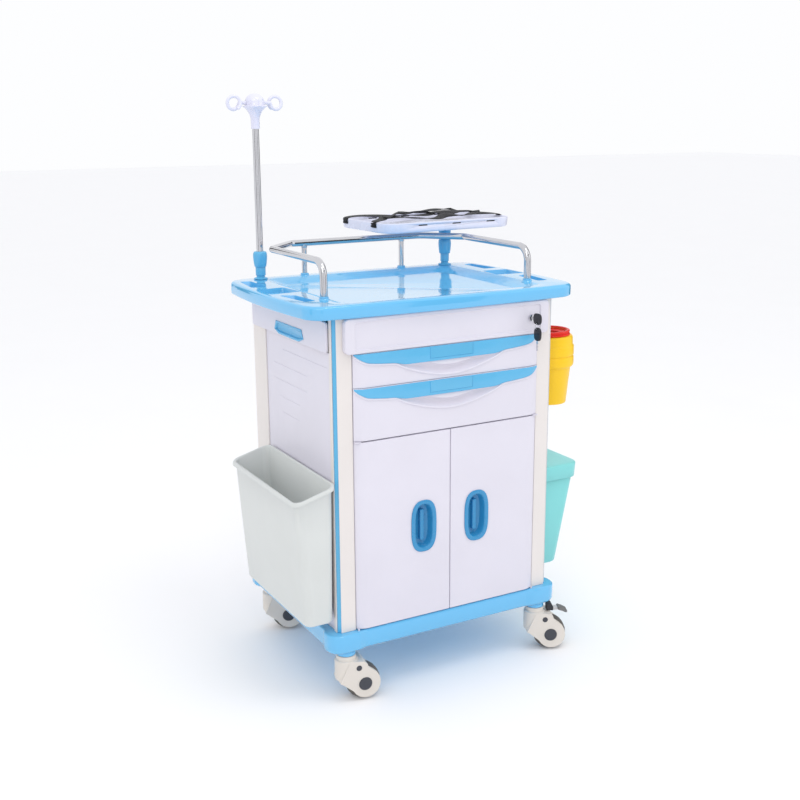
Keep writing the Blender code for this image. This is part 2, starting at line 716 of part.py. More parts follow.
def build_lower_front(number):
    """Convex front with a raised, rounded lip below the grip strip."""
    low, high = DRAWER_Z[number - 1]
    half = 0.2605
    loops = []
    for x in front_stations(half, (0.122, LIP_HALF)):
        y = FRONT_Y + fade(x, half, 0.030, 0.0100)
        inside = abs(x) < LIP_HALF - 0.001
        pad = 0.003 if inside else 0.0
        sag = 0.034 * (1 - min(1.0, abs(x) / LIP_HALF) ** 2.2)
        pad_top = high - 0.0383
        pad_low = pad_top - max(sag, 0.0015)
        loops.append([
            (x, FRONT_BACK_Y, low), (x, y + 0.002, low), (x, y, low + 0.002), (x, y, pad_low - 0.0015),
            (x, y - pad, pad_low), (x, y - pad, pad_top), (x, y, pad_top + 0.0005), (x, y, high - 0.0008),
            (x, y + 0.0008, high), (x, FRONT_BACK_Y, high),
        ])
    add_mesh(f"drawer_{number}_front", loft(loops), LAVENDER, 0.4)


STRIP_EDGE = (
    (0.0, 0.0368), (0.128, 0.0368), (0.141, 0.0338), (0.154, 0.0303), (0.181, 0.0286), (0.215, 0.0254),
    (0.2305, 0.0225), (0.2425, 0.0168), (0.2515, 0.0110), (0.2575, 0.0055),
)


def build_strip(number):
    """Grip strip across the top of a drawer front, deeper in the middle."""
    high = DRAWER_Z[number - 1][1]
    half = 0.2605
    loops = []
    stations = [(-x, drop) for x, drop in reversed(STRIP_EDGE[1:])] + list(STRIP_EDGE)
    for x, drop in stations:
        back = FRONT_Y + fade(x, half, 0.030, 0.0100) - GAP
        front = back - (0.0045 if abs(x) < 0.245 else 0.003)
        bottom = high - drop
        top = high - 0.0010
        loops.append([
            (x, back, bottom), (x, front + 0.001, bottom), (x, front, bottom + 0.001),
            (x, front, top - 0.0008), (x, front + 0.0008, top), (x, back, top),
        ])
    add_mesh(f"drawer_{number}_strip", loft(loops), BLUE, 0.2)


def build_drawer_box(number, front_y):
    """Open-topped drawer with side flanges that ride on the runner panels' ledges."""
    low, high = DRAWER_BOX_Z[number - 1]
    back_y = 0.200
    wall = 0.003
    loops = []
    for inset, z in ((0, low), (0, high), (wall, high), (wall, low + wall)):
        x = BOX_HALF - inset
        y = (front_y + inset, back_y - inset)
        loops.append([(-x, y[0], z), (x, y[0], z), (x, y[1], z), (-x, y[1], z)])
    box = add_mesh(f"drawer_{number}_box", loft(loops), WHITE, 0.5)
    z = FLANGE_Z[number - 1]
    for side in (-1, 1):
        x = sorted((side * (BOX_HALF - 0.001), side * 0.2608))
        combine(box, block(x, (-0.200, 0.195), (z, z + FLANGE)), "UNION")
    return box


def build_drawers():
    build_top_front()
    top_box = build_drawer_box(1, TOP_BACK_Y + GAP)
    combine(top_box, cylinder(0.0081, -0.26, -0.22, (LOCK[0], 0, LOCK[1]), 16, (0, 1, 0)), "DIFFERENCE")
    for number in (2, 3):
        build_lower_front(number)
        build_strip(number)
        build_drawer_box(number, FRONT_BACK_Y + GAP)


# Lock and keys -----------------------------------------------------------------------------
def key_shape(centre, bow_half, blade, hole):
    """Flat key in the YZ plane: an oval bow with a hole, and a round shank."""
    steps = 16
    outline = []
    for i in range(steps):
        angle = 2 * math.pi * i / steps
        outline.append((centre[0] + bow_half[0] * math.cos(angle), centre[1] + bow_half[1] * math.sin(angle)))
    x = LOCK[0]
    bow = prism(outline, x - 0.003, x + 0.003, "X")
    start, end = (Vector((x, *p)) for p in blade)
    length = (end - start).length
    shank = cylinder(0.0024, 0, length, start, 10, (end - start).normalized())
    eye = cylinder(0.0026, -0.01, 0.01, (x, *hole), 12, (1, 0, 0))
    return bow, shank, eye


def build_lock():
    x, z = LOCK
    barrel = (
        (0, -0.2365), (0.0074, -0.2365), (0.0074, TOP_FRONT_Y - GAP), (0.0092, TOP_FRONT_Y - GAP),
        (0.0092, -0.2626), (0.0080, -0.2636), (0, -0.2636),
    )
    lock = add_mesh("lock_barrel", turned(barrel, (x, 0, z), 20, (0, 1, 0)), CHROME, 0.15, 1.0, origin=(x, -0.25, z))
    cam = block((x - 0.030, x + 0.006), (-0.2372, -0.2340), (z - 0.004, z + 0.004))
    combine(lock, cam, "UNION")
    combine(lock, cylinder(0.0028, -0.270, -0.249, (x, 0, z), 12, (0, 1, 0)), "DIFFERENCE")
    ring_y = KEY_Y - 0.002
    bow, shank, eye = key_shape((KEY_Y, z), (0.0150, 0.0140), ((KEY_Y + 0.005, z), (-0.2500, z)), (ring_y, 0.9050))
    key = add_mesh("lock_key", bow, BLACK, 0.4, origin=(x, -0.25, z))
    combine(key, shank, "UNION")
    combine(key, eye, "DIFFERENCE")
    ring_z = 0.9050 - RING_R
    path = [
        (x + RING_R * math.sin(a), ring_y, ring_z + RING_R * math.cos(a))
        for a in (2 * math.pi * i / 24 for i in range(24))
    ]
    add_mesh("key_ring", swept(path, 0.0008, 6, closed=True), CHROME, 0.2, 1.0, origin=(x, ring_y, 0.9050))


# Doors -------------------------------------------------------------------------------------
HANDLE_Z = 0.4225
HANDLE_X = 0.0767


def barrel_outline(half_x, half_z, centre):
    """Upright grip outline: bowed sides between narrower, flat ends."""
    shares = ((1.0, 0.30), (0.88, 0.74), (0.58, 1.0), (-0.58, 1.0), (-0.88, 0.74), (-1.0, 0.30))
    upper = [(a * half_x, b * half_z) for a, b in shares]
    lower = [(-a, -b) for a, b in upper]
    return [(centre[0] + a, centre[1] + b) for a, b in upper + lower]


def build_doors():
    low, high = DOOR_Z
    half = 0.2605
    for name, side in SIDES:
        loops = []
        for x in (0.001, 0.004, 0.130, half - 0.030, half - 0.018, half - 0.009, half - 0.003, half):
            y = FRONT_Y + fade(x, half, 0.030, 0.0100) + (0.002 if x < 0.002 else 0)
            loops.append([
                (side * x, FRONT_BACK_Y, low), (side * x, y + 0.002, low), (side * x, y, low + 0.002),
                (side * x, y, high - 0.002), (side * x, y + 0.002, high), (side * x, FRONT_BACK_Y, high),
            ])
        pivot = (side * DOOR_PIVOT[0], DOOR_PIVOT[1], 0)
        door = add_mesh(f"door_{name}", loft(loops), LAVENDER, 0.4, origin=pivot)
        combine(door, cylinder(0.0025, high - 0.010, high + 0.0022, pivot, 12), "UNION")
        combine(door, cylinder(0.0025, 0.1755, low + 0.010, pivot, 12), "UNION")
        centre = (side * HANDLE_X, HANDLE_Z)
        opening = prism(barrel_outline(0.0310, 0.0620, centre), -0.270, -0.220, "Y")
        combine(door, opening, "DIFFERENCE")
        cup = [
            (0.0305, 0.0615, -0.2350), (0.0305, 0.0615, FRONT_Y - GAP), (0.0355, 0.0668, FRONT_Y - GAP),
            (0.0350, 0.0662, FRONT_Y - 0.0025), (0.0330, 0.0640, FRONT_Y - 0.0032),
            (0.0215, 0.0540, FRONT_Y - 0.0032), (0.0200, 0.0520, -0.2375),
        ]
        loops = [[(x, y, z) for x, z in barrel_outline(hx, hz, centre)] for hx, hz, y in cup]
        add_mesh(f"door_handle_{name}", loft(loops), BLUE, 0.25, origin=pivot)


# Side shelf --------------------------------------------------------------------------------
def grip_outline(grow):
    """Six-sided hand grip, wider at its waist, as (y, z) about the shelf's front."""
    mid = -0.012
    right = ((0.060 + grow, 0.8785 - grow), (0.086 + grow, 0.8870), (0.076 + grow, 0.9085 + grow))
    return [(mid + a, b) for a, b in right] + [(mid - a, b) for a, b in reversed(right)]


def build_side_shelf():
    front_x = (-0.3165, -0.3105)
    plate = rounded_rect(0.2234, 0.0360, 0.006, (0.0014, 0.9105), 3)
    shelf = add_mesh("side_shelf", prism(plate, *front_x, "X"), LAVENDER, 0.4, origin=(-0.3165, 0, SHELF_Z[0]))
    combine(shelf, block((-0.3120, 0.2150), (-0.1500, 0.1400), SHELF_Z), "UNION")
    combine(shelf, prism(grip_outline(-0.0015), -0.330, -0.300, "X"), "DIFFERENCE")
    cup = [
        (-0.0019, -0.2990), (-0.0019, front_x[0] - GAP), (0.0005, front_x[0] - GAP), (0.0, front_x[0] - 0.0018),
        (-0.0040, front_x[0] - 0.0018), (-0.0055, -0.3010),
    ]
    loops = [[(x, y, z) for y, z in grip_outline(grow)] for grow, x in cup]
    add_mesh("side_shelf_grip", loft(loops), BLUE, 0.3, origin=(-0.3165, 0, SHELF_Z[0]))


# Castors -----------------------------------------------------------------------------------
def castor_outline():
    """Side view of a castor cover about its swivel axis: shoulder, roof and wheel disc.

    The disc shrinks from its lowest point round to the shoulder, so that more of the tyre shows.
    """
    disc = []
    for i in range(12):
        angle = math.radians(55 - 19 * i)
        cover = 0.040 - 0.005 * min(1.0, max(0.0, (i - 5) / 5))
        disc.append((TRAIL + cover * math.cos(angle), WHEEL_R + cover * math.sin(angle)))
    roof = [(0.0, 0.1085), (0.038, 0.1035), (0.046, 0.0965), (0.048, 0.0880)]
    return [*roof, *disc, (-0.0150, 0.0480), (-0.0240, 0.0540)]


def build_castor(place, x, y):
    yaw = math.radians(CASTOR_YAW[place])
    turn = Matrix.Translation((x, y, 0)) @ Matrix.Rotation(yaw, 4, "Z")
    cover = prism(castor_outline(), -0.0290, 0.0290, "Y")
    neck = turned(((0, 0.0520), (0.0250, 0.0520), (0.0290, 0.0570), (0.0290, 0.1065), (0.0270, 0.1085),
                   (0.0245, 0.1090), (0.0245, 0.1200), (0, 0.1200)), (0, 0, 0), 24)
    slot = cylinder(0.0465, -0.0190, 0.0190, (TRAIL, 0, WHEEL_R), 24, (0, 1, 0))
    axle = cylinder(0.0053, -0.0245, 0.0245, (TRAIL, 0, WHEEL_R), 12, (0, 1, 0))
    bore = cylinder(0.0094, 0.0840, 0.1300, (0, 0, 0), 20)
    wheel = turned((
        (0, -0.0240), (0.0050, -0.0240), (0.0050, -0.0182), (0.0340, -0.0180), (0.0400, -0.0170),
        (0.0432, -0.0130), (WHEEL_R, -0.0070), (WHEEL_R, 0.0070), (0.0432, 0.0130), (0.0400, 0.0170),
        (0.0340, 0.0180), (0.0050, 0.0182), (0.0050, 0.0240), (0, 0.0240),
    ), (TRAIL, 0, WHEEL_R), 24, (0, 1, 0))
    for shape in (cover, neck, slot, axle, bore, wheel):
        bmesh.ops.transform(shape, matrix=turn, verts=shape.verts)
    housing = add_mesh(f"castor_{place}_housing", cover, CREAM, 0.4, origin=(x, y, 0.0845))
    combine(housing, neck, "UNION")
    combine(housing, slot, "DIFFERENCE")
    combine(housing, axle, "DIFFERENCE")
    combine(housing, bore, "DIFFERENCE")
    hub = turn @ Vector((TRAIL, 0, WHEEL_R))
    add_mesh(f"castor_{place}_wheel", wheel, (0.16, 0.15, 0.15), 0.7, origin=hub)


def build_pedal(place, x, y):
    """Brake pedal hinged on the roof of its castor."""
    yaw = math.radians(CASTOR_YAW[place])
    turn = Matrix.Translation((x, y, 0)) @ Matrix.Rotation(yaw, 4, "Z")
    side_view = [(0.0310, 0.1066), (0.0500, 0.1046), (0.0520, 0.1060), (0.0880, 0.1080), (0.0880, 0.1115),
                 (0.0500, 0.1150), (0.0440, 0.1270), (0.0310, 0.1270)]
    shape = prism(side_view, -0.0110, 0.0110, "Y")
    bmesh.ops.transform(shape, matrix=turn, verts=shape.verts)
    hinge = turn @ Vector((0.0330, 0, 0.1100))
    add_mesh(f"castor_{place}_pedal", shape, (0.10, 0.10, 0.11), 0.5, origin=hinge)


def build_castors():
    for place in CASTOR_YAW:
        depth, side = place.split("_")
        x = CASTOR[0] if side == "right" else -CASTOR[0]
        y = CASTOR[1] if depth == "back" else -CASTOR[1]
        build_castor(place, x, y)
        if place in ("front_right", "back_left"):
            build_pedal(place, x, y)


# Containers on the sides -------------------------------------------------------------------
def bin_loop(inner_x, outer_x, front_y, back_y, radius, height, side, slope=0.0):
    """Rounded rectangle beside the cabinet whose height may fall away from it."""
    centre = ((inner_x + outer_x) / 2, (front_y + back_y) / 2)
    outline = rounded_rect((outer_x - inner_x) / 2, (back_y - front_y) / 2, radius, centre, 4)
    return [(side * x, y, height - slope * (x - inner_x)) for x, y in outline]


def build_grey_bin():
    slope = 0.030
    loops = [
        bin_loop(0.3190, 0.3860, -0.2340, 0.1440, 0.016, 0.2120, -1),
        bin_loop(0.3150, 0.3900, -0.2380, 0.1480, 0.020, 0.2180, -1),
        bin_loop(0.3150, 0.4140, -0.2500, 0.1490, 0.022, 0.5550, -1, slope / 0.099),
        bin_loop(0.3115, 0.4210, -0.2580, 0.1520, 0.024, 0.5570, -1, slope / 0.109),
        bin_loop(0.3110, 0.4225, -0.2595, 0.1535, 0.025, 0.5605, -1, slope / 0.110),
        bin_loop(0.3135, 0.4200, -0.2570, 0.1510, 0.0235, 0.5655, -1, slope / 0.106),
        bin_loop(0.3175, 0.4120, -0.2480, 0.1470, 0.020, 0.5635, -1, slope / 0.0945),
        bin_loop(0.3180, 0.3870, -0.2350, 0.1450, 0.017, 0.2155, -1),
    ]
    made = add_mesh("waste_bin", loft(loops), (0.70, 0.72, 0.71), 0.4, origin=(-0.3150, GREY_Y, 0.2120))
    for piece in hanger(-1, GREY_Y, 0.047, HOOK_Z["grey"], 0.3162):
        combine(made, piece, "UNION")


def build_teal_bin():
    teal = (0.26, 0.72, 0.72)
    loops = [
        bin_loop(0.3190, 0.4060, -0.1540, 0.0440, 0.020, 0.1950, 1),
        bin_loop(0.3155, 0.4120, -0.1600, 0.0500, 0.024, 0.2010, 1),
        bin_loop(0.3155, 0.4500, -0.1790, 0.0690, 0.030, 0.4444, 1),
        bin_loop(0.3180, 0.4475, -0.1765, 0.0665, 0.028, 0.4444, 1),
        bin_loop(0.3180, 0.4095, -0.1575, 0.0475, 0.022, 0.1985, 1),
    ]
    body = add_mesh("lidded_bin", loft(loops), teal, 0.35, origin=(0.3155, TEAL_Y, 0.1950))
    for piece in hanger(1, TEAL_Y, 0.047, HOOK_Z["teal"], 0.3167):
        combine(body, piece, "UNION")
    lid = [
        bin_loop(0.3155, 0.4560, -0.1850, 0.0750, 0.034, 0.4450, 1),
        bin_loop(0.3155, 0.4590, -0.1880, 0.0780, 0.036, 0.4800, 1),
        bin_loop(0.3165, 0.4570, -0.1860, 0.0760, 0.035, 0.4845, 1),
        bin_loop(0.3230, 0.4500, -0.1790, 0.0690, 0.030, 0.4865, 1),
    ]
    lid.insert(0, bin_loop(0.3180, 0.4535, -0.1825, 0.0725, 0.032, 0.4450, 1))
    lid.insert(0, bin_loop(0.3180, 0.4550, -0.1840, 0.0740, 0.033, 0.4800, 1))
    add_mesh("lidded_bin_lid", loft(lid), teal, 0.35, origin=(TEAL_HINGE[0], TEAL_Y, TEAL_HINGE[1]))


def build_sharps():
    x, y = SHARPS
    body = (
        (0, 0.6520), (0.0470, 0.6520), (0.0490, 0.6550), (0.0590, 0.7520), (0.0660, 0.7580), (0.0665, 0.7860),
        (0.0660, 0.8095), (0.0630, 0.8120), (0.0625, 0.8320), (0.0600, 0.8360), (0.0400, 0.8360),
        (0.0400, 0.8300), (0.0550, 0.8200), (0.0550, 0.7560), (0.0460, 0.6560), (0, 0.6560),
    )
    made = add_mesh("sharps_container", turned(body, (x, y, 0), 24), (0.90, 0.62, 0.03), 0.35, origin=(x, y, 0.652))
    for piece in hanger(1, y, 0.028, HOOK_Z["sharps"], 0.3385):
        combine(made, piece, "UNION")
    ring = (
        (0.0300, 0.8363), (0.0530, 0.8363), (0.0548, 0.8385), (0.0548, 0.8420), (0.0520, 0.8430),
        (0.0520, 0.8442), (0.0545, 0.8455), (0.0540, 0.8490), (0.0500, 0.8505), (0.0300, 0.8505),
    )
    add_mesh("sharps_cap", turned(ring, (x, y, 0), 24, closed=True), (0.75, 0.05, 0.03), 0.35, origin=(x, y, 0.8363))


build_base()
build_columns()
build_panels()
build_inside()
build_tray()
build_rail()
build_iv_pole()
build_platform()
build_drawers()
build_lock()
build_doors()
build_side_shelf()
build_castors()
build_grey_bin()
build_teal_bin()
build_sharps()
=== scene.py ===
"""Looks of the emergency trolley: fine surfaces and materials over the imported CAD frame.

Metres, +Z up. Shapes are drawn about the middle of the cabinet, like the CAD model, and CART
shifts them into the frame. The front faces -Y.
"""
import json
import math

import bmesh
import bpy
from mathutils import Matrix, Vector


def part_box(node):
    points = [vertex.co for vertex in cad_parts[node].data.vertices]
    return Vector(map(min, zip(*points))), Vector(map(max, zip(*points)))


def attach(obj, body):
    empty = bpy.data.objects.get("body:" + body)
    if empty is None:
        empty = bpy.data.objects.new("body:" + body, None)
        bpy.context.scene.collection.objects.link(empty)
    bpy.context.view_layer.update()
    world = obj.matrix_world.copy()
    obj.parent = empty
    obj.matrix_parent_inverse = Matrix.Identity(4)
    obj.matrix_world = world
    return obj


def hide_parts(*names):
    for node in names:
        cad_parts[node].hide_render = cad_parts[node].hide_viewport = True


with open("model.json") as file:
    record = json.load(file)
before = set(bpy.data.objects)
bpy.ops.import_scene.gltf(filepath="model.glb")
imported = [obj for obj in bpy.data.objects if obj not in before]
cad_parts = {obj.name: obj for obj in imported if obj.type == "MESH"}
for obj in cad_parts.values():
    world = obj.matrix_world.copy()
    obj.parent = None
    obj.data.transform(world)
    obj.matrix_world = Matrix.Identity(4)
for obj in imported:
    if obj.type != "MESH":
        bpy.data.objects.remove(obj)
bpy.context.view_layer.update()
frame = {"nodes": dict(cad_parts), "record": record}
NODES = frame["nodes"]

# Driving sizes, the same as the CAD model's
BASE_BACK = 0.28               # from the middle of the cabinet to the back of the base
BASE_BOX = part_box("base_chassis")
BASE_LOW, BASE_TOP = BASE_BOX[0].z + 0.0475, BASE_BOX[1].z
CART = Vector(((BASE_BOX[0].x + BASE_BOX[1].x) / 2, BASE_BOX[1].y - BASE_BACK, 0))
TRAY_LOW, TRAY_TOP = 0.958, 0.99
FRONT_Y = -0.256               # middle of the lower drawer fronts and doors
FRONT_BACK_Y = -0.234
TOP_FRONT_Y = -0.26
TOP_BACK_Y = -0.2445
FRONT_HALF = 0.2605
IV_POLE = (-0.286, 0.231)
POST = (0.277, 0.231)
POLE_R, BORE_R = 0.0087, 0.0091
RAIL_Z, RAIL_R, RAIL_X = 1.0765, 0.009, 0.288
RAIL_POST_Y, RAIL_BACK_Y = -0.158, 0.236
BACK_POSTS = (-0.158, 0.138)
CASTOR_X, CASTOR_Y = 0.284, 0.231
TRAIL, WHEEL_R = 0.04, 0.044
CASTOR_YAW = {"front_left": -8, "front_right": -24, "back_left": -18, "back_right": -10}
LOCK = (0.2327, 0.9142)
KEY_Y = -0.2835
RING_R = 0.0082
PLATFORM, PLATFORM_HALF, PLATFORM_Z = (0.245, 0.284), (0.2125, 0.137), (1.095, 1.123)
PLATFORM_TURN = math.radians(3)
SHARPS = (0.386, -0.127)
SIDES = (("left", -1), ("right", 1))
BODY_OF = {node: body for body, nodes in frame["record"]["behaviour"]["bodies"].items() for node in nodes}


# Mesh helpers
def loft(loops, capped=True):
    """Surface through rings of the same number of points."""
    shape = bmesh.new()
    rings = [[shape.verts.new(point) for point in loop] for loop in loops]
    count = len(rings[0])
    for low, high in zip(rings, rings[1:]):
        for i in range(count):
            j = (i + 1) % count
            shape.faces.new((low[i], low[j], high[j], high[i]))
    if capped:
        shape.faces.new(rings[0])
        shape.faces.new(rings[-1])
    return shape


def merge(*shapes):
    """One bmesh holding several separate bodies."""
    whole = bmesh.new()
    for shape in shapes:
        mesh = bpy.data.meshes.new("scratch")
        shape.to_mesh(mesh)
        shape.free()
        whole.from_mesh(mesh)
        bpy.data.meshes.remove(mesh)
    return whole


def prism(outline, low, high, axis="Z"):
    """Outline extruded along Z, or along Y or X from (x, z) or (y, z)."""
    order = {"Z": (0, 1, 2), "Y": (0, 2, 1), "X": (2, 0, 1)}[axis]
    return loft([[tuple((a, b, c)[k] for k in order) for a, b in outline] for c in (low, high)])


def block(x, y, z):
    return prism([(x[0], y[0]), (x[1], y[0]), (x[1], y[1]), (x[0], y[1])], *z)


def turned(profile, centre, steps=64, axis=(0, 0, 1), closed=False, flutes=None):
    """Body of revolution from (radius, height) points; flutes(angle, height) scales the radius."""
    shape = bmesh.new()
    rings = []
    for radius, height in profile:
        if radius == 0:
            rings.append([shape.verts.new((0, 0, height))])
            continue
        ring = []
        for i in range(steps):
            angle = 2 * math.pi * i / steps
            r = radius * (flutes(angle, height) if flutes else 1)
            ring.append(shape.verts.new((r * math.cos(angle), r * math.sin(angle), height)))
        rings.append(ring)
    pairs = list(zip(rings, rings[1:]))
    if closed:
        pairs.append((rings[-1], rings[0]))
    for low, high in pairs:
        for i in range(steps):
            j = (i + 1) % steps
            if len(low) == 1:
                shape.faces.new((low[0], high[j], high[i]))
            elif len(high) == 1:
                shape.faces.new((low[i], low[j], high[0]))
            else:
                shape.faces.new((low[i], low[j], high[j], high[i]))
    turn = Vector((0, 0, 1)).rotation_difference(Vector(axis)).to_matrix().to_4x4()
    bmesh.ops.transform(shape, matrix=Matrix.Translation(centre) @ turn, verts=shape.verts)
    return shape


def cylinder(radius, low, high, centre, steps=48, axis=(0, 0, 1)):
    return turned([(0, low), (radius, low), (radius, high), (0, high)], centre, steps, axis)


def swept(path, section, closed=False):
    """A section of (a, b) points carried along a path without twisting."""
    points = [Vector(p) for p in path]
    count = len(points)
    tangents = []
    for i in range(count):
        before = points[i - 1] if closed or i else points[0]
        after = points[(i + 1) % count] if closed or i < count - 1 else points[i]
        tangents.append((after - before).normalized())
    side = tangents[0].orthogonal().normalized()
    loops = []
    for i, (point, tangent) in enumerate(zip(points, tangents)):
        if i:
            side.rotate(tangents[i - 1].rotation_difference(tangent))
        normal = tangent.cross(side)
        loops.append([point + a * side + b * normal for a, b in section])
    if not closed:
        return loft(loops)
    shape = loft([*loops, loops[0]], capped=False)
    bmesh.ops.remove_doubles(shape, verts=shape.verts, dist=1e-6)
    return shape


def circle(radius, sides=24, shift=0.0):
    angles = [2 * math.pi * (k + shift) / sides for k in range(sides)]
    return [(radius * math.cos(angle), radius * math.sin(angle)) for angle in angles]


def quarter(wide, tall, steps):
    """Quarter of an ellipse, from the end of its width up to the end of its height."""
    return [(wide * math.cos(angle), tall * math.sin(angle)) for angle in spread(0, math.pi / 2, steps + 1)]


def superellipse(sides, power_a, power_b):
    """Unit outline between a circle (powers of 1) and a square (powers of 0)."""
    points = circle(1, sides)
    return [(math.copysign(abs(a) ** power_a, a), math.copysign(abs(b) ** power_b, b)) for a, b in points]


def rounded_path(corners, radii, steps=14):
    """Points along straight runs with each inner corner replaced by an arc of its own radius."""
    points = [Vector(corners[0])]
    for before, corner, after, radius in zip(corners, corners[1:], corners[2:], radii):
        corner = Vector(corner)
        inward = (Vector(before) - corner).normalized()
        onward = (Vector(after) - corner).normalized()
        half = inward.angle(onward) / 2
        reach = radius / math.tan(half)
        centre = corner + (inward + onward).normalized() * radius / math.sin(half)
        start = corner + inward * reach - centre
        turn = start.rotation_difference(corner + onward * reach - centre)
        for i in range(steps + 1):
            arm = start.copy()
            arm.rotate(Matrix.Rotation(turn.angle * i / steps, 3, turn.axis))
            points.append(centre + arm)
    points.append(Vector(corners[-1]))
    return points


def curve_through(points):
    """Catmull-Rom curve through given points, seven steps to a span."""
    vectors = [Vector(p) for p in points]
    ends = [2 * vectors[0] - vectors[1], *vectors, 2 * vectors[-1] - vectors[-2]]
    made = []
    for a, b, c, d in zip(ends, ends[1:], ends[2:], ends[3:]):
        for t in spread(0, 1, 8)[:-1]:
            made.append(0.5 * (2 * b + (c - a) * t + (2 * a - 5 * b + 4 * c - d) * t ** 2
                               + (3 * b - a - 3 * c + d) * t ** 3))
    made.append(vectors[-1])
    return made


def rounded_rect(half_x, half_y, radius, centre=(0, 0), steps=10, turn=0.0):
    outline = []
    for corner, (sx, sy) in enumerate(((1, 1), (-1, 1), (-1, -1), (1, -1))):
        for i in range(steps + 1):
            angle = math.pi / 2 * (corner + i / steps)
            x = sx * (half_x - radius) + radius * math.cos(angle)
            y = sy * (half_y - radius) + radius * math.sin(angle)
            outline.append((
                centre[0] + x * math.cos(turn) - y * math.sin(turn),
                centre[1] + x * math.sin(turn) + y * math.cos(turn),
            ))
    return outline


def shifted(points, a, b):
    return [(p + a, q + b) for p, q in points]


def raised(outline, height):
    return [(x, y, height) for x, y in outline]


def mirrored(outline):
    return [(-x, y) for x, y in outline]


def sided(outline, side):
    return outline if side > 0 else mirrored(outline)


def smoothstep(t):
    t = max(0.0, min(1.0, t))
    return t * t * (3 - 2 * t)


def spread(low, high, count):
    return [low + (high - low) * i / (count - 1) for i in range(count)]


def mm(*rows):
    """Rows of millimetres as tuples of metres."""
    return [tuple(value / 1000 for value in row) for row in rows]


def turned_with(turn, *shapes):
    whole = merge(*shapes)
    bmesh.ops.transform(whole, matrix=turn, verts=whole.verts)
    return whole


# Materials
def srgb(*levels):
    """Linear colour from display levels 0 to 255."""
    shares = [level / 255 for level in levels]
    return tuple(c / 12.92 if c <= 0.04045 else ((c + 0.055) / 1.055) ** 2.4 for c in shares)


class Finish:
    """A Principled material being wired: noise for colour, gloss and fine relief."""

    def __init__(self, name, **sockets):
        self.made = bpy.data.materials.new(name)
        self.made.use_nodes = True
        self.tree = self.made.node_tree
        self.shader = self.tree.nodes["Principled BSDF"]
        for socket, value in sockets.items():
            self.shader.inputs[socket.replace("_", " ")].default_value = value
        self.coordinates = self.add("ShaderNodeTexCoord")

    def add(self, kind, **inputs):
        node = self.tree.nodes.new(kind)
        for socket, value in inputs.items():
            node.inputs[socket.replace("_", " ")].default_value = value
        return node

    def link(self, source, target):
        self.tree.links.new(source, target)

    def noise(self, scale, detail=3.0, stretch=(1, 1, 1)):
        mapping = self.add("ShaderNodeMapping", Scale=stretch)
        self.link(self.coordinates.outputs["Object"], mapping.inputs["Vector"])
        node = self.add("ShaderNodeTexNoise", Scale=scale, Detail=detail)
        self.link(mapping.outputs["Vector"], node.inputs["Vector"])
        return node.outputs["Fac"]

    def vary_colour(self, colour, amount, scale):
        source = self.noise(scale)
        node = self.add("ShaderNodeValToRGB")
        for element, level, position in zip(node.color_ramp.elements, (1 - amount, 1 + amount), (0.3, 0.7)):
            element.color = (*(min(1.0, c * level) for c in colour), 1)
            element.position = position
        self.link(source, node.inputs["Fac"])
        self.link(node.outputs["Color"], self.shader.inputs["Base Color"])

    def vary_gloss(self, low, high, scale, stretch=(1, 1, 1)):
        node = self.add("ShaderNodeMapRange", To_Min=low, To_Max=high)
        self.link(self.noise(scale, 5.0, stretch), node.inputs["Value"])
        self.link(node.outputs["Result"], self.shader.inputs["Roughness"])

    def relief(self, source, strength, distance):
        node = self.add("ShaderNodeBump", Strength=strength, Distance=distance)
        self.link(source, node.inputs["Height"])
        self.link(node.outputs["Normal"], self.shader.inputs["Normal"])


def moulded(name, colour, gloss, grain=0.1, coat=0.0):
    """Moulded plastic: faint mottling, uneven gloss and a fine spark-eroded grain."""
    finish = Finish(name, Coat_Weight=coat, Coat_Roughness=0.06, IOR=1.48)
    finish.vary_colour(colour, 0.018, 7.0)
    finish.vary_gloss(*gloss, 22.0)
    finish.relief(finish.noise(1500.0, 2.0), grain, 0.00012)
    return finish.made


def glossy(name, colour):
    """Polished plastic with a slow moulding ripple instead of a grain."""
    finish = Finish(name, Coat_Weight=0.6, Coat_Roughness=0.03, IOR=1.5)
    finish.vary_colour(colour, 0.012, 5.0)
    finish.vary_gloss(0.06, 0.13, 30.0)
    finish.relief(finish.noise(16.0, 2.0), 0.05, 0.0006)
    return finish.made


def metal(name, colour, gloss, stretch, scratch):
    """Bare or plated metal with fine drawing lines along its length."""
    finish = Finish(name, Metallic=1.0)
    finish.vary_colour(colour, 0.05, 12.0)
    finish.vary_gloss(*gloss, 60.0, stretch)
    finish.relief(finish.noise(700.0, 2.0, stretch), scratch, 0.00005)
    return finish.made


def rubber(name, colour):
    finish = Finish(name, IOR=1.45)
    finish.vary_colour(colour, 0.12, 40.0)
    finish.vary_gloss(0.62, 0.85, 60.0)
    finish.relief(finish.noise(900.0, 4.0), 0.35, 0.0003)
    return finish.made


def webbing(name, colour):
    """Woven nylon: two crossing waves of yarn under a soft sheen."""
    finish = Finish(name, Sheen_Weight=0.08, Sheen_Roughness=0.5, IOR=1.45)
    finish.vary_colour(colour, 0.35, 90.0)
    finish.vary_gloss(0.6, 0.8, 200.0)
    heights = []
    for direction in ("DIAGONAL", "X"):
        wave = finish.add("ShaderNodeTexWave", Scale=260.0, Distortion=0.6, Detail=1.0)
        wave.bands_direction = direction
        finish.link(finish.coordinates.outputs["Object"], wave.inputs["Vector"])
        heights.append(wave.outputs["Fac"])
    weave = finish.add("ShaderNodeMath")
    weave.operation = "MAXIMUM"
    finish.link(heights[0], weave.inputs[0])
    finish.link(heights[1], weave.inputs[1])
    finish.relief(weave.outputs["Value"], 0.7, 0.0005)
    return finish.made


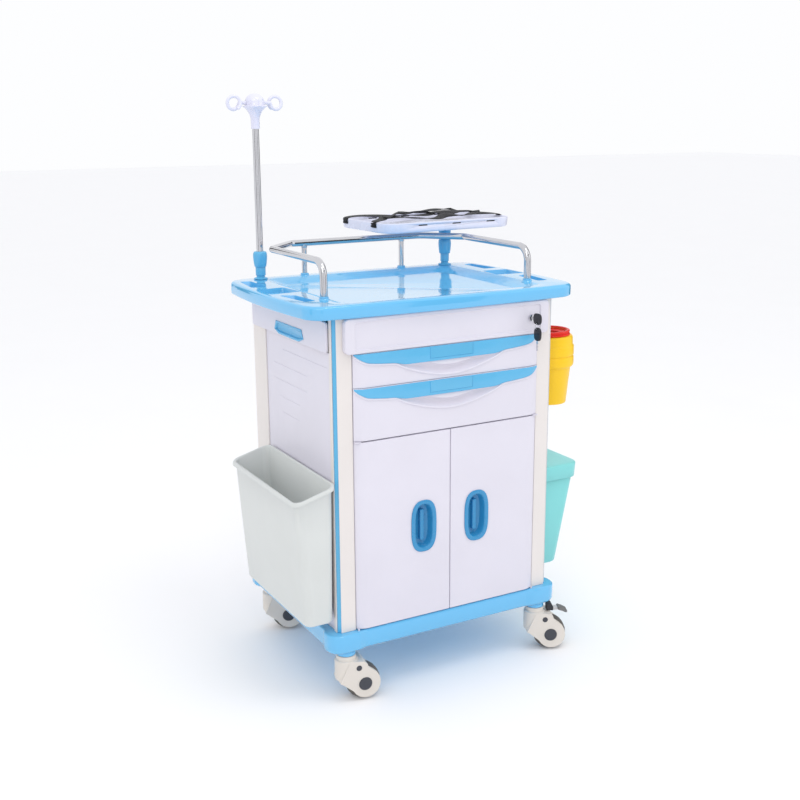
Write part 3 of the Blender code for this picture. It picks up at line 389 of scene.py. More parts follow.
MATERIALS = {
    "cream_column": moulded("cream_abs", srgb(227, 221, 218), (0.34, 0.46)),
    "lavender_panel": moulded("lavender_abs", srgb(220, 217, 228), (0.3, 0.42)),
    "blue_trim": moulded("blue_abs", srgb(94, 180, 224), (0.2, 0.3), grain=0.05, coat=0.2),
    "chrome_tube": metal("chrome", srgb(208, 208, 212), (0.05, 0.12), (1, 1, 0.05), 0.04),
    "runner_steel": metal("zinc_steel", srgb(190, 192, 196), (0.3, 0.45), (1, 0.05, 1), 0.12),
    "white_plastic": moulded("white_abs", srgb(222, 224, 242), (0.22, 0.32), grain=0.05, coat=0.15),
    "painted_hook": moulded("white_rod", srgb(222, 222, 238), (0.14, 0.22), grain=0.02, coat=0.5),
    "strap_webbing": webbing("nylon_webbing", srgb(24, 24, 29)),
    "key_black": moulded("black_key", srgb(34, 35, 42), (0.35, 0.5)),
    "castor_cream": moulded("cream_nylon", srgb(220, 213, 205), (0.3, 0.42)),
    "tyre_grey": rubber("grey_tyre", srgb(96, 93, 90)),
    "pedal_grey": moulded("black_nylon", srgb(44, 46, 52), (0.4, 0.55)),
    "bin_grey": moulded("grey_polypropylene", srgb(212, 215, 213), (0.36, 0.48), grain=0.12),
    "bin_teal": moulded("teal_polypropylene", srgb(132, 214, 214), (0.3, 0.4)),
    "sharps_yellow": moulded("yellow_polypropylene", srgb(250, 203, 14), (0.34, 0.44)),
    "sharps_red": moulded("red_polypropylene", srgb(232, 38, 22), (0.36, 0.46)),
}
GLOSS_BLUE = glossy("gloss_blue_abs", srgb(102, 186, 234))
HANDLE_BLUE = moulded("handle_blue_abs", srgb(50, 142, 194), (0.22, 0.32), grain=0.05, coat=0.2)
LABEL_BLUE = moulded("label_window", srgb(98, 180, 222), (0.12, 0.2), grain=0.0, coat=0.5)
CAP_DARK = moulded("castor_cap", srgb(62, 64, 72), (0.38, 0.5))
LINK_GREY = moulded("pedal_link", srgb(196, 196, 198), (0.3, 0.42))
PADDLE_GREY = moulded("pedal_paddle", srgb(112, 112, 112), (0.45, 0.6), grain=0.3)
ORANGE = moulded("orange_seal", srgb(240, 120, 50), (0.24, 0.34))
SLOT_OF = {row["node"]: row["material_slot"] for row in frame["record"]["subparts"]}


# Pieces
def mesh_object(name, shape):
    """A linked object made from a shape, which is used up."""
    mesh = bpy.data.meshes.new(name)
    shape.to_mesh(mesh)
    shape.free()
    made = bpy.data.objects.new(name, mesh)
    bpy.context.collection.objects.link(made)
    return made


def add_piece(name, shape, body, slot, material=None, stands_for=(), angle=35, placed=False):
    """A finished piece: smoothed, coloured, riding on its CAD body."""
    bmesh.ops.recalc_face_normals(shape, faces=shape.faces)
    if not placed:
        bmesh.ops.translate(shape, verts=shape.verts, vec=CART)
    piece = mesh_object(name, shape)
    piece.data.shade_smooth()
    piece.data.set_sharp_from_angle(angle=math.radians(angle))
    piece.data.materials.append(material or MATERIALS[slot])
    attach(piece, body)
    if stands_for:
        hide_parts(*stands_for)
    return piece


def stand_in(node, shape, material=None, **options):
    """A finished piece that takes a CAD node's place, body and material slot."""
    return add_piece(f"{node}_fine", shape, BODY_OF[node], SLOT_OF[node], material, (node,), **options)


def carve(piece, *cutters):
    """Cut closed shapes, drawn about the cabinet, out of a piece."""
    shape = merge(*cutters)
    bmesh.ops.recalc_face_normals(shape, faces=shape.faces)
    bmesh.ops.translate(shape, verts=shape.verts, vec=CART)
    tool = mesh_object("tool", shape)
    tool_mesh = tool.data
    change = piece.modifiers.new("carve", "BOOLEAN")
    change.operation = "DIFFERENCE"
    change.solver = "EXACT"
    change.object = tool
    bpy.context.view_layer.update()
    evaluated = piece.evaluated_get(bpy.context.evaluated_depsgraph_get())
    cut = bpy.data.meshes.new_from_object(evaluated)
    piece.modifiers.remove(change)
    piece.data = cut
    bpy.data.objects.remove(tool, do_unlink=True)
    bpy.data.meshes.remove(tool_mesh)


def soften(piece, width, segments=3, angle=32):
    """Round a piece's sharp edges."""
    bevel = piece.modifiers.new("edges", "BEVEL")
    bevel.width = width
    bevel.segments = segments
    bevel.limit_method = "ANGLE"
    bevel.angle_limit = math.radians(angle)
    bevel.harden_normals = True
    return piece


def refined(node, width, segments=3):
    """A CAD node's own shape with clean faces and rounded edges."""
    shape = bmesh.new()
    shape.from_mesh(NODES[node].data)
    bmesh.ops.remove_doubles(shape, verts=shape.verts, dist=2e-6)
    bmesh.ops.dissolve_limit(shape, angle_limit=math.radians(0.8), verts=shape.verts, edges=shape.edges)
    piece = stand_in(node, shape, placed=True)
    return soften(piece, width, segments) if width else piece


# Worktop tray
def tray_outline(inset):
    """Rounded rectangle with its sides bowed outwards."""
    arcs = rounded_rect(0.3735 - inset, 0.264 - inset, 0.052 - inset / 2, steps=14)
    points = []
    for corner, (bow, nx, ny) in enumerate(((0.003, 0, 1), (0.0115, -1, 0), (0.01, 0, -1), (0.0115, 1, 0))):
        arc = arcs[15 * corner:15 * corner + 15]
        (xa, ya), (xb, yb) = arc[-1], arcs[(15 * corner + 15) % 60]
        points += arc
        for t in spread(0, 1, 26)[1:-1]:
            lift = bow * 4 * t * (1 - t)
            points.append((xa + (xb - xa) * t + nx * lift, ya + (yb - ya) * t + ny * lift))
    return points


def recess_outline(half_x, front, back, radius, like):
    """Rounded rectangle sampled at the same bearings as the outline `like`."""
    mid, half_y = (back + front) / 2, (back - front) / 2
    points = []
    for x, y in like:
        scale = max(abs(x) / half_x, abs(y - mid) / half_y)
        px, py = x / scale, (y - mid) / scale
        qx, qy = half_x - radius, half_y - radius
        if abs(px) > qx and abs(py) > qy:
            corner = Vector((math.copysign(qx, px), math.copysign(qy, py)))
            px, py = corner + (Vector((px, py)) - corner).normalized() * radius
        points.append((px, py + mid))
    return points


POCKETS = (
    mm((327.5, 104), (364, 102), (351, 208), (327, 200)),
    mm((290, -19), (365, -26), (366.5, 54), (298, 59)),
    mm((316, -165), (342, -167), (356, -57), (323.5, -74)),
)


def rounded_polygon(corners, radius):
    ends = [Vector((*corner, 0)) for corner in (corners[-1], *corners, corners[0])]
    outline = []
    for before, corner, after in zip(ends, ends[1:], ends[2:]):
        path = rounded_path(((before + corner) / 2, corner, (after + corner) / 2), [radius], 6)
        outline += [(p.x, p.y) for p in path[1:-1]]
    return outline


def rail_boss(x, y):
    profile = mm((0, -3), (15, -3), (13, 0.3), (11, 2.2), (11, 5), (10.2, 6.4), (8.8, 7), (0, 7))
    return turned(profile, (x, y, TRAY_TOP), 40)


def build_tray():
    edge = tray_outline(0)
    rim = [(TRAY_LOW, 0.004), (TRAY_LOW + 0.0012, 0.0014), (TRAY_LOW + 0.004, 0), (TRAY_TOP - 0.0085, 0)]
    rim += [(TRAY_TOP - 0.0085 + rise, 0.0075 - reach) for reach, rise in quarter(0.0075, 0.0085, 6)[1:]]
    loops = [raised(tray_outline(inset), z) for z, inset in rim]
    dish = mm(
        (288.5, 36.8, 0), (285, 35, 0.4), (281.8, 33, 1.4), (278, 31, 2.4), (270, 29, 4), (256, 25, 9),
        (246, 21.5, 12.4), (242.5, 20.5, 13.5), (239, 20, 14),
    )
    for half_x, radius, depth in dish:
        share = (0.285 - half_x) / 0.045
        outline = recess_outline(half_x, 0.033 * share - 0.238, 0.222 - 0.036 * share, radius, edge)
        loops.append(raised(outline, TRAY_TOP - depth))
    tray = stand_in("worktop_tray", loft(loops), GLOSS_BLUE, angle=50)
    cutters = [cylinder(BORE_R, TRAY_LOW - 0.01, TRAY_TOP + 0.01, (*pole, 0)) for pole in (IV_POLE, POST)]
    for side in (-1, 1):
        for corners in POCKETS:
            mid = sum((Vector(c) for c in corners), Vector((0, 0))) / 4
            wide = [tuple(mid + (Vector(p) - mid) * 1.12) for p in rounded_polygon(corners, 0.006)]
            narrow = [tuple(mid + (Vector(p) - mid) * 0.9) for p in wide]
            levels = ((narrow, TRAY_TOP - 0.011), (wide, TRAY_TOP + 0.002))
            cutters.append(loft([raised(sided(outline, side), z) for outline, z in levels]))
    carve(tray, *cutters)
    soften(tray, 0.0016, 3, 40)
    bosses = [rail_boss(x, RAIL_POST_Y) for x in (-RAIL_X, RAIL_X)]
    bosses += [rail_boss(x, RAIL_BACK_Y) for x in BACK_POSTS]
    add_piece("rail_bosses", merge(*bosses), "frame", "blue_trim", GLOSS_BLUE)
    ledges = [block((0.214, 0.251), (-0.242, -0.2388), (0.93, TRAY_LOW + 0.002))]
    for y, step in ((-0.1505, -1), (0.1405, 1)):
        ledges.append(block((-0.295, 0.215), sorted((y, y + step * 0.0055)), (0.9178, TRAY_LOW + 0.002)))
        ledges.append(block((-0.295, 0.215), sorted((y - step * 0.012, y + step * 0.005)), (0.9178, 0.9216)))
    soften(add_piece("tray_ledges", merge(*ledges), "frame", "blue_trim"), 0.0006)


# Base
def base_outline(inset):
    """Rounded corners standing proud of relieved sides and ends."""
    half_x, radius, relief = 0.336 - inset, 0.034 - inset / 2, 0.007

    def end_outline(depth):
        end = depth - inset
        points = [(half_x - relief * (1 - smoothstep(t)), depth - 0.064 + 0.02 * t) for t in spread(0, 1, 9)]
        points += shifted(quarter(radius, radius, 16)[1:], half_x - radius, end - radius)
        points += [(0.264 - 0.03 * t, end - relief * smoothstep(t)) for t in spread(0, 1, 9)]
        return points + mirrored(points)[::-1]

    return end_outline(BASE_BACK) + [(-x, -y) for x, y in end_outline(0.262)]


def build_base():
    levels = shifted(mm((0, 10), (1.2, 6.2), (4.5, 2.2), (10, 0)), BASE_LOW, 0)
    levels += [(BASE_TOP - 0.005 + rise, 0.005 - reach) for reach, rise in quarter(0.005, 0.005, 5)]
    shapes = [loft([raised(base_outline(inset), z) for z, inset in levels])]
    stem = mm((0, 84.5), (9, 84.5), (9, 120.4), (22, 120.4), (23.5, 121.4), (23.5, 129), (22.5, 130))
    stem += [(0.0225, BASE_LOW + 0.004), (0, BASE_LOW + 0.004)]
    shapes += [turned(stem, (x, y, 0)) for x in (-CASTOR_X, CASTOR_X) for y in (-CASTOR_Y, CASTOR_Y)]
    stand_in("base_chassis", merge(*shapes), GLOSS_BLUE, angle=40)


# Drawer fronts
def fade(x):
    """How far a front's surface falls back near its outer vertical edge."""
    over = max(0.0, abs(x) - (FRONT_HALF - 0.03)) / 0.03
    return 0.01 * over * over


STRIP_EDGE = mm(
    (0, 36.8), (128, 36.8), (141, 33.8), (154, 30.3), (181, 28.6), (215, 25.4), (230.5, 22.5), (242.5, 16.8),
    (251.5, 11), (260.5, 3),
)


def strip_drop(x):
    """Depth of the blue strip's lower edge below the front's top, eased between its corners."""
    x = abs(x)
    total = 0.0
    for offset in (-0.008, -0.004, 0.0, 0.004, 0.008):
        at = min(max(x + offset, 0.0), STRIP_EDGE[-1][0]) if x < 0.245 else x
        for (xa, da), (xb, db) in zip(STRIP_EDGE, STRIP_EDGE[1:]):
            if xa <= at <= xb:
                total += da + (db - da) * (at - xa) / (xb - xa)
                break
    return total / 5


def lip_drop(x):
    """Depth of the moulded lip's crest: beside the strip, then down round the finger scoop."""
    return strip_drop(x) + 0.0026 + 0.0335 * (1 - min(1.0, abs(x) / 0.15) ** 1.9) ** 1.25


def tongue_drop(x):
    """Depth of the small inner tongue under the middle of the strip."""
    return strip_drop(x) + 0.0125 * max(0.0, 1 - (abs(x) / 0.068) ** 2)


def front_section(x, low, high):
    """(y, z) points up one vertical slice of a lower drawer front."""
    face = FRONT_Y + fade(x)
    crest, ledge, tongue = high - lip_drop(x), high - strip_drop(x), high - tongue_drop(x)
    points = [(FRONT_BACK_Y, low), (face + 0.002, low), (face + 0.0006, low + 0.0006), (face, low + 0.002)]
    points += [(face, z) for z in spread(low + 0.004, crest - 0.0052, 6)]
    for angle in spread(0, math.pi, 9):
        points.append((face - 0.0034 * math.sin(angle) ** 1.6, crest - 0.00336 * math.cos(angle)))
    seat = crest + 0.0034
    top = max(tongue, seat)
    depth = 0.012 * smoothstep((ledge - seat) / 0.026)
    for t in spread(0, 1, 13)[1:]:
        points.append((face + depth * math.sin(math.pi * 0.86 * t) ** 0.8, seat + (top - seat) * t))
    rest = points[-1][0] - 0.0062 * smoothstep((ledge - tongue) / 0.004)
    brow = max(ledge, top)
    points += [(rest, top + 0.0004), (rest, brow + 0.0006), (face, brow + 0.0008)]
    return points + [(face, high - 0.0008), (face + 0.0008, high), (FRONT_BACK_Y, high)]


def front_stations(half):
    """Stations across a front, closer together towards its two ends."""
    insets = mm((30, 26, 22, 18, 14.5, 11.5, 9, 7, 5, 3, 1.5, 0.5, 0))[0]
    right = spread(0, half - 0.034, 62) + [half - inset for inset in insets]
    return [-x for x in reversed(right[1:])] + right


def build_lower_front(number):
    low, high = (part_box(f"drawer_{number}_front")[k].z for k in (0, 1))
    loops = [[(x, y, z) for y, z in front_section(x, low, high)] for x in front_stations(FRONT_HALF)]
    stand_in(f"drawer_{number}_front", loft(loops), angle=50)
    build_strip(number, high)


def build_strip(number, high):
    """Grip strip along the top of a drawer front, and the label holder on it."""
    loops = []
    for x in front_stations(0.259):
        back = FRONT_Y + fade(x) - 0.0003
        front = back - 0.0036 + 0.0014 * smoothstep((abs(x) - 0.235) / 0.02)
        bottom, top = high - strip_drop(x), high - 0.001
        lower = shifted(mm((1.2, 0), (0.4, 0.3), (0, 1.2)), front, bottom)
        upper = shifted(mm((0, -1), (0.3, -0.3), (1, 0)), front, top)
        loops.append([(x, y, z) for y, z in [(back, bottom), *lower, *upper, (back, top)]])
    body, face = f"drawer_{number}", FRONT_Y - 0.0039
    stand_in(f"{body}_strip", loft(loops), angle=50)
    outline = rounded_rect(0.059, 0.0135, 0.0015, (0, high - 0.0155), 4)
    window = prism(outline, face - 0.0006, face + 0.0004, "Y")
    soften(add_piece(f"label_window_{number}", window, body, "blue_trim", LABEL_BLUE), 0.0003)
    deep, bottom = (face - 0.0011, face + 0.0004), high - 0.0308
    bars = [block((-0.06, 0.06), deep, (bottom, high - 0.0294))]
    bars += [block(x, deep, (bottom, high - 0.002)) for x in ((-0.0604, -0.0592), (0.0592, 0.0604))]
    soften(add_piece(f"label_frame_{number}", merge(*bars), body, "blue_trim"), 0.0003)


def build_top_front():
    """Raised border round a sunk panel, with soft moulded corners."""
    low, high = (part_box("drawer_1_front")[k].z for k in (0, 1))
    half_x, half_z, face = 0.285, (high - low) / 2, TOP_FRONT_Y
    border = [(0.0035 - reach, face + 0.0035 - rise) for reach, rise in quarter(0.0035, 0.0035, 7)]
    loops = []
    for inset, y in [(0, TOP_BACK_Y), *border, (0.02, face)]:
        down, radius = inset * (0.3 if inset > 0.01 else 1), 0.012 - min(inset, 0.004)
        outline = rounded_rect(half_x - inset, half_z - down, radius, (0, (high + low) / 2))
        loops.append([(x, y, z) for x, z in outline])
    well = mm((24, 0), (24.8, -0.5), (25.6, -0.3), (26.3, 1.2), (27, 2.6), (28.4, 3.1), (31, 3.1))
    for inset, sunk in well:
        outline = rounded_rect(half_x - inset, 0.058 - inset, max(0.0035, 0.0325 - inset), (0, 0.9148))
        loops.append([(x, face + sunk, z) for x, z in outline])
    front = stand_in("drawer_1_front", loft(loops), angle=40)
    carve(front, cylinder(0.0078, -0.3, -0.22, (LOCK[0], 0, LOCK[1]), 32, (0, 1, 0)))


# Guard rail, IV pole and platform
def build_rail():
    foot = TRAY_TOP + 0.0073
    run = [(-RAIL_X, RAIL_POST_Y, foot), (-RAIL_X, RAIL_POST_Y, RAIL_Z), (-RAIL_X, 0.145, RAIL_Z)]
    run.append((-0.198, RAIL_BACK_Y, RAIL_Z))
    bends = (0.036, 0.02, 0.028)
    path = rounded_path(run + [(-x, y, z) for x, y, z in reversed(run)], bends + bends[::-1])
    bars = [swept(path, circle(RAIL_R, 28))]
    weld = ((0, RAIL_Z - 0.0125), (0.0082, RAIL_Z - 0.0125), (0.0088, RAIL_Z - 0.006), (0, RAIL_Z - 0.004))
    for x in BACK_POSTS:
        bars.append(cylinder(0.0068, foot, RAIL_Z - 0.002, (x, RAIL_BACK_Y, 0), 32))
        bars.append(turned(weld, (x, RAIL_BACK_Y, 0), 32))
    stand_in("guard_rail", merge(*bars))


def socket(radius, flange):
    """Collar on the tray that a pole's clamp knob screws down to."""
    low = TRAY_TOP + 0.0003
    foot = mm((-1, 0), (0, 1), (0, 2.4), (-1.2, 3.4))
    neck = mm((1, 4.4), (-2, 6), (-2.2, 8.5), (0, 10.5), (0.2, 38.2), (-0.6, 40.2), (-1.8, 40.7))
    return [(BORE_R, low), *shifted(foot, flange, low), *shifted(neck, radius, low), (BORE_R, low + 0.0407)]


KNOB = [(BORE_R, 1.0314), *mm(
    (14, 1031.4), (14.1, 1024), (15, 1022.8), (16.3, 1026.2), (17.6, 1034), (18.6, 1043), (18.9, 1051),
    (18.4, 1056.6), (17, 1060.4), (14.8, 1062.2), (11.8, 1062.8),
), (BORE_R, 1.0628)]


def knob_flutes(angle, height):
    """Six finger flutes that fade out towards the ends of a clamp knob."""
    share = math.sin(math.pi * min(1.0, max(0.0, (height - 1.0235) / 0.039)))
    return 1 - 0.11 * share * (0.5 - 0.5 * math.cos(6 * angle)) ** 2


def pigtail(side):
    """Arm out of the head, then a loop and a quarter that drifts forward as it turns."""
    points = []
    for share in spread(0, 1, 73):
        angle = math.pi * (1 + 2.35 * share)
        x, z = 0.059 + 0.016 * math.cos(angle), 1.4365 + 0.016 * math.sin(angle)
        points.append((IV_POLE[0] + side * x, IV_POLE[1] + side * 0.0135 * share, z))
    return points


def build_iv_pole():
    x, y = IV_POLE
    stand_in("iv_socket", turned(socket(0.013, 0.0182), (x, y, 0), closed=True))
    stand_in("iv_knob", turned(KNOB, (x, y, 0), 96, closed=True, flutes=knob_flutes))
    end_r = POLE_R - 0.0002
    tube = ((0, 0.58), (end_r, 0.58), (POLE_R, 0.5802), (POLE_R, 1.3898), (end_r, 1.39), (0, 1.39))
    stand_in("iv_pole", turned(tube, (x, y, 0), 40))
    dome = mm((0, 0), (2.2, 0), (1.8, 1), (0, 1.3))
    stop = turned(dome, (x + 0.004, y - 0.0072, 1.075), 20, (0.45, -0.89, 0))
    add_piece("iv_pole_stop", stop, "iv_pole", "chrome_tube")
    head = mm(
        (0, 1390.5), (9, 1390.5), (9, 1372.5), (10.8, 1372.5), (11.3, 1373), (11.3, 1398.5), (11.8, 1400),
        (15, 1409), (19, 1416), (25, 1422.5), (30, 1426.2), (31, 1427.2), (31, 1428.8), (30, 1429.4),
        (25.2, 1430.2), (24.6, 1431.2),
    )
    head += [*shifted(quarter(0.0246, 0.021, 9)[:-1], 0, 1.439), (0, 1.46)]
    clear = moulded("frosted_head", srgb(222, 222, 240), (0.12, 0.2), grain=0.0, coat=0.6)
    stand_in("iv_head", turned(head, (x, y, 0)), clear)
    ribs = [cylinder(0.0013, -0.0052, 0.0052, (x + a, y + b, 1.4365), 12) for a, b in circle(0.0238, 10, 0.5)]
    add_piece("iv_head_ribs", merge(*ribs), "iv_head", "white_plastic", clear)
    wire = [(a, b * 0.86) for a, b in circle(0.0045, 20)]
    stand_in("iv_hooks", swept(pigtail(-1)[::-1] + pigtail(1), wire))


def on_platform(x, y, z):
    turn = Matrix.Rotation(PLATFORM_TURN, 3, "Z")
    return turn @ Vector((x, y, 0)) + Vector((*PLATFORM, z))


STRAP_HALF, STRAP_THICK = 0.0115, 0.0016
STRAP_SECTION = (
    (1, 0.25), (0.96, 0.5), (-0.96, 0.5), (-1, 0.25), (-1, -0.25), (-0.96, -0.5), (0.96, -0.5), (1, -0.25),
)
# Routes over the platform: x, y and height over the rim in mm, and the webbing's tilt in degrees.
STRAPS = {
    "a": (
        (-213.7, 85, -14, 0), (-213.7, 85, -2, 0), (-206.5, 86, 3, 0), (-165, 92, 4.5, 5), (-110, 75, 3, 10),
        (-60, 20, 5, -8), (0, -5, 6, 8), (60, 40, 9, -5), (110, 60, 7, 6), (160, 70, 5, 0), (206.5, 66, 3, 0),
        (209.7, 64, -2, 0), (211.9, 64, -14, 0),
    ),
    "b": (
        (-213.7, -70, -14, 0), (-213.7, -70, -2, 0), (-206.5, -68, 3, 0), (-170, -40, 4, 8), (-130, 0, 6, 20),
        (-75, -50, 4, -12), (-20, -85, 3, 6), (30, -60, 8, 25), (85, -70, 5, -10), (140, -50, 7, 12),
        (200.5, -66, 4, 0), (209.7, -68, -2, 0), (211.9, -68, -14, 0),
    ),
}
TAILS = {
    "a": (
        (-150, -30, 7.5, 10), (-100, 10, 9.5, -15), (-40, 60, 8, 20), (30, 95, 6, -8), (90, 90, 10, 10),
        (130, 50, 12, -20), (110, 10, 8, 8),
    ),
    "b": ((-60, 50, 11, 12), (0, 20, 12, -20), (60, -20, 11, 25), (120, -10, 10, -12), (165, -35, 11, 8)),
}


def ribbon(route):
    """Webbing along a route over the platform."""
    line = curve_through([on_platform(x / 1000, y / 1000, PLATFORM_Z[1] + z / 1000) for x, y, z, _ in route])
    tilts = [p.x for p in curve_through([(tilt, 0, 0) for *_, tilt in route])]
    loops = []
    for i, point in enumerate(line):
        along = (line[min(i + 1, len(line) - 1)] - line[max(i - 1, 0)]).normalized()
        across = Vector((0, 0, 1)).cross(along)
        across = across.normalized() if across.length > 0.05 else on_platform(0, 1, 0) - on_platform(0, 0, 0)
        across.rotate(Matrix.Rotation(math.radians(tilts[i]), 3, along))
        normal = along.cross(across).normalized()
        loops.append([point + a * STRAP_HALF * across + b * STRAP_THICK * normal for a, b in STRAP_SECTION])
    return loft(loops)


def build_straps():
    """Two long straps tied through the rim slots at both ends, lying loose and crossed."""
    for letter, route in STRAPS.items():
        stand_in(f"platform_strap_{letter}", ribbon(route), angle=50)
    for letter, route in TAILS.items():
        add_piece(f"strap_tail_{letter}", ribbon(route), "platform", "strap_webbing", angle=50)


def build_platform():
    x, y = POST
    low, high = PLATFORM_Z
    stand_in("platform_socket", turned(socket(0.012, 0.0185), (x, y, 0), closed=True))
    stand_in("platform_knob", turned(KNOB, (x, y, 0), 96, closed=True, flutes=knob_flutes))
    post = [(0, 0.6), (POLE_R, 0.6), (POLE_R, 1.0655), *mm((15, 1066.8), (16.8, 1068.5), (17, 1070))]
    post += shifted(mm((17, -1.2), (16, -0.3), (6.5, -0.3), (6.5, 5.5), (0, 5.5)), 0, low)
    stand_in("platform_post", turned(post, (x, y, 0)))
    levels = shifted(mm((10, 0), (6, 0.6), (3.2, 2.6), (2.2, 5)), 0, low)
    levels += shifted(mm((0.2, -3), (0.4, -1.2), (1.4, -0.2), (2.6, 0), (4, -0.4), (5, -1.6)), 0, high)
    levels += shifted(mm((7.8, 12.5), (9.2, 10.2), (12, 9)), 0, low)
    loops = []
    for inset, z in levels:
        half_x, half_y, radius = (size - inset for size in (*PLATFORM_HALF, 0.045))
        loops.append(raised(rounded_rect(half_x, half_y, radius, PLATFORM, 14, PLATFORM_TURN), z))
    tray = stand_in("platform_tray", loft(loops), angle=45)
    cutters, painted_shade_plates = [], []
    place = Matrix.Translation((*PLATFORM, 0)) @ Matrix.Rotation(PLATFORM_TURN, 4, "Z")
    for slot_x in (-0.097, 0.014, 0.13):
        outline = rounded_rect(0.0145, 0.0017, 0.0015, (slot_x, 1.1148), 4)
        for side in (-1, 1):
            cutters.append(turned_with(place, prism(outline, side * 0.145, side * 0.122, "Y")))
            # Painted shade: a black plate behind each slot, in the webbing's material, stands for the shade
            # inside the slot
            depth = sorted((side * 0.135, side * 0.133))
            painted_shade_plate = block((slot_x - 0.0155, slot_x + 0.0155), depth, (1.1126, 1.117))
            painted_shade_plates.append(turned_with(place, painted_shade_plate))
    carve(tray, *cutters)
    # Painted shade: these dark plates only darken the slots and are no part of the platform
    add_piece("slot_painted_shade_plates", merge(*painted_shade_plates), "platform", "strap_webbing")
    build_straps()


# Side shelf's grip
def grip_outline(grow):
    """Six-sided hand grip, wider at its waist, as (y, z) about the shelf's front."""
    mid = -0.012
    right = ((0.06 + grow, 0.8785 - grow), (0.086 + grow, 0.887), (0.076 + grow, 0.9085 + grow))
    return [(mid + a, b) for a, b in right] + [(mid - a, b) for a, b in reversed(right)]


def build_shelf_grip():
    """Flanged cup with a shallow floor."""
    cup = mm(
        (-1.9, -299), (-1.9, -316.8), (0.4, -316.8), (0.9, -317.3), (0.9, -317.8), (0.3, -318.3),
        (-3.4, -318.3), (-4.2, -317.9), (-4.8, -317), (-6.2, -313.6), (-7.2, -313),
    )
    loops = [[(x, y, z) for y, z in grip_outline(grow)] for grow, x in cup]
    stand_in("side_shelf_grip", loft(loops), angle=50)


# Doors and their handles
HANDLE_Z, HANDLE_X = 0.4225, 0.0767


def barrel_outline(half_x, half_z, centre):
    """Upright grip outline: bowed sides into rounded ends."""
    return [(centre[0] + half_x * a, centre[1] + half_z * b) for a, b in superellipse(72, 0.78, 0.62)]


def door_shape(side):
    """Door panel with rounded edges, falling back towards its hinge side."""
    low, high = 0.185, 0.659
    edge = mm((2.2, 0), (1, 0.3), (0.3, 1), (0, 2.2))
    stations = mm((1, 2.2), (1.3, 1.1), (2, 0.4), (3.2, 0), (30, 0))
    stations += [(FRONT_HALF - inset, back) for inset, back in mm(
        (200, 0), (100, 0), (30, 0), (26, 0), (22, 0), (18, 0), (14.5, 0), (11.5, 0), (9, 0), (7, 0), (5, 0),
        (3, 0.3), (1.2, 1), (0, 2.6),
    )]
    loops = []
    for x, back in stations:
        y = FRONT_Y + fade(x) + back
        section = [(y + a, low + b) for a, b in edge] + [(y + a, high - b) for a, b in reversed(edge)]
        loops.append([(side * x, a, b) for a, b in [(FRONT_BACK_Y, low), *section, (FRONT_BACK_Y, high)]])
    return loft(loops)


def build_doors():
    cup = mm(
        (29.8, 60, 18), (29.8, 60, -0.3), (35.2, 66.4, -0.3), (35.7, 67, -1), (35.4, 66.7, -2.2),
        (34.2, 65.4, -3.1), (32.6, 63.6, -3.3), (26.8, 59, -3.3), (25, 57.2, -2.6), (23.8, 55.6, 0.4),
        (22.5, 53.8, 10), (20.5, 51.5, 16.5), (17, 48, 17.8),
    )
    for name, side in SIDES:
        body, centre = f"door_{name}", (side * HANDLE_X, HANDLE_Z)
        door = stand_in(body, door_shape(side), angle=50)
        carve(door, prism(barrel_outline(0.031, 0.062, centre), -0.27, -0.22, "Y"))
        hinge = (side * 0.257, -0.25, 0)
        pins = [cylinder(0.0025, *ends, hinge, 20) for ends in ((0.1755, 0.186), (0.658, 0.6612))]
        add_piece(f"door_pins_{name}", merge(*pins), body, "lavender_panel")
        loops = []
        for half_x, half_z, sunk in cup:
            loops.append([(x, FRONT_Y + sunk, z) for x, z in barrel_outline(half_x, half_z, centre)])
        stand_in(f"door_handle_{name}", loft(loops), HANDLE_BLUE, angle=50)
        wide, tall = ((middle - half, middle + half) for middle, half in zip(centre, (0.0055, 0.04)))
        inside = block(wide, (FRONT_Y + 0.0085, FRONT_Y + 0.0185), tall)
        soften(add_piece(f"handle_floor_{name}", inside, body, "blue_trim", HANDLE_BLUE), 0.002, 4)


# Lock and keys
def key_head(y, z, half_y, half_z):
    """Moulded key head in the YZ plane, nearly square and thinner towards its edge."""
    loops = []
    half = ((-0.003, 0.86), (-0.0027, 0.95), (-0.0018, 1))
    for shift, share in (*half, *((-a, b) for a, b in reversed(half))):
        outline = [(y + half_y * share * a, z + half_z * share * b) for a, b in superellipse(48, 0.6, 0.75)]
        loops.append([(LOCK[0] + shift, *point) for point in outline])
    return loft(loops)


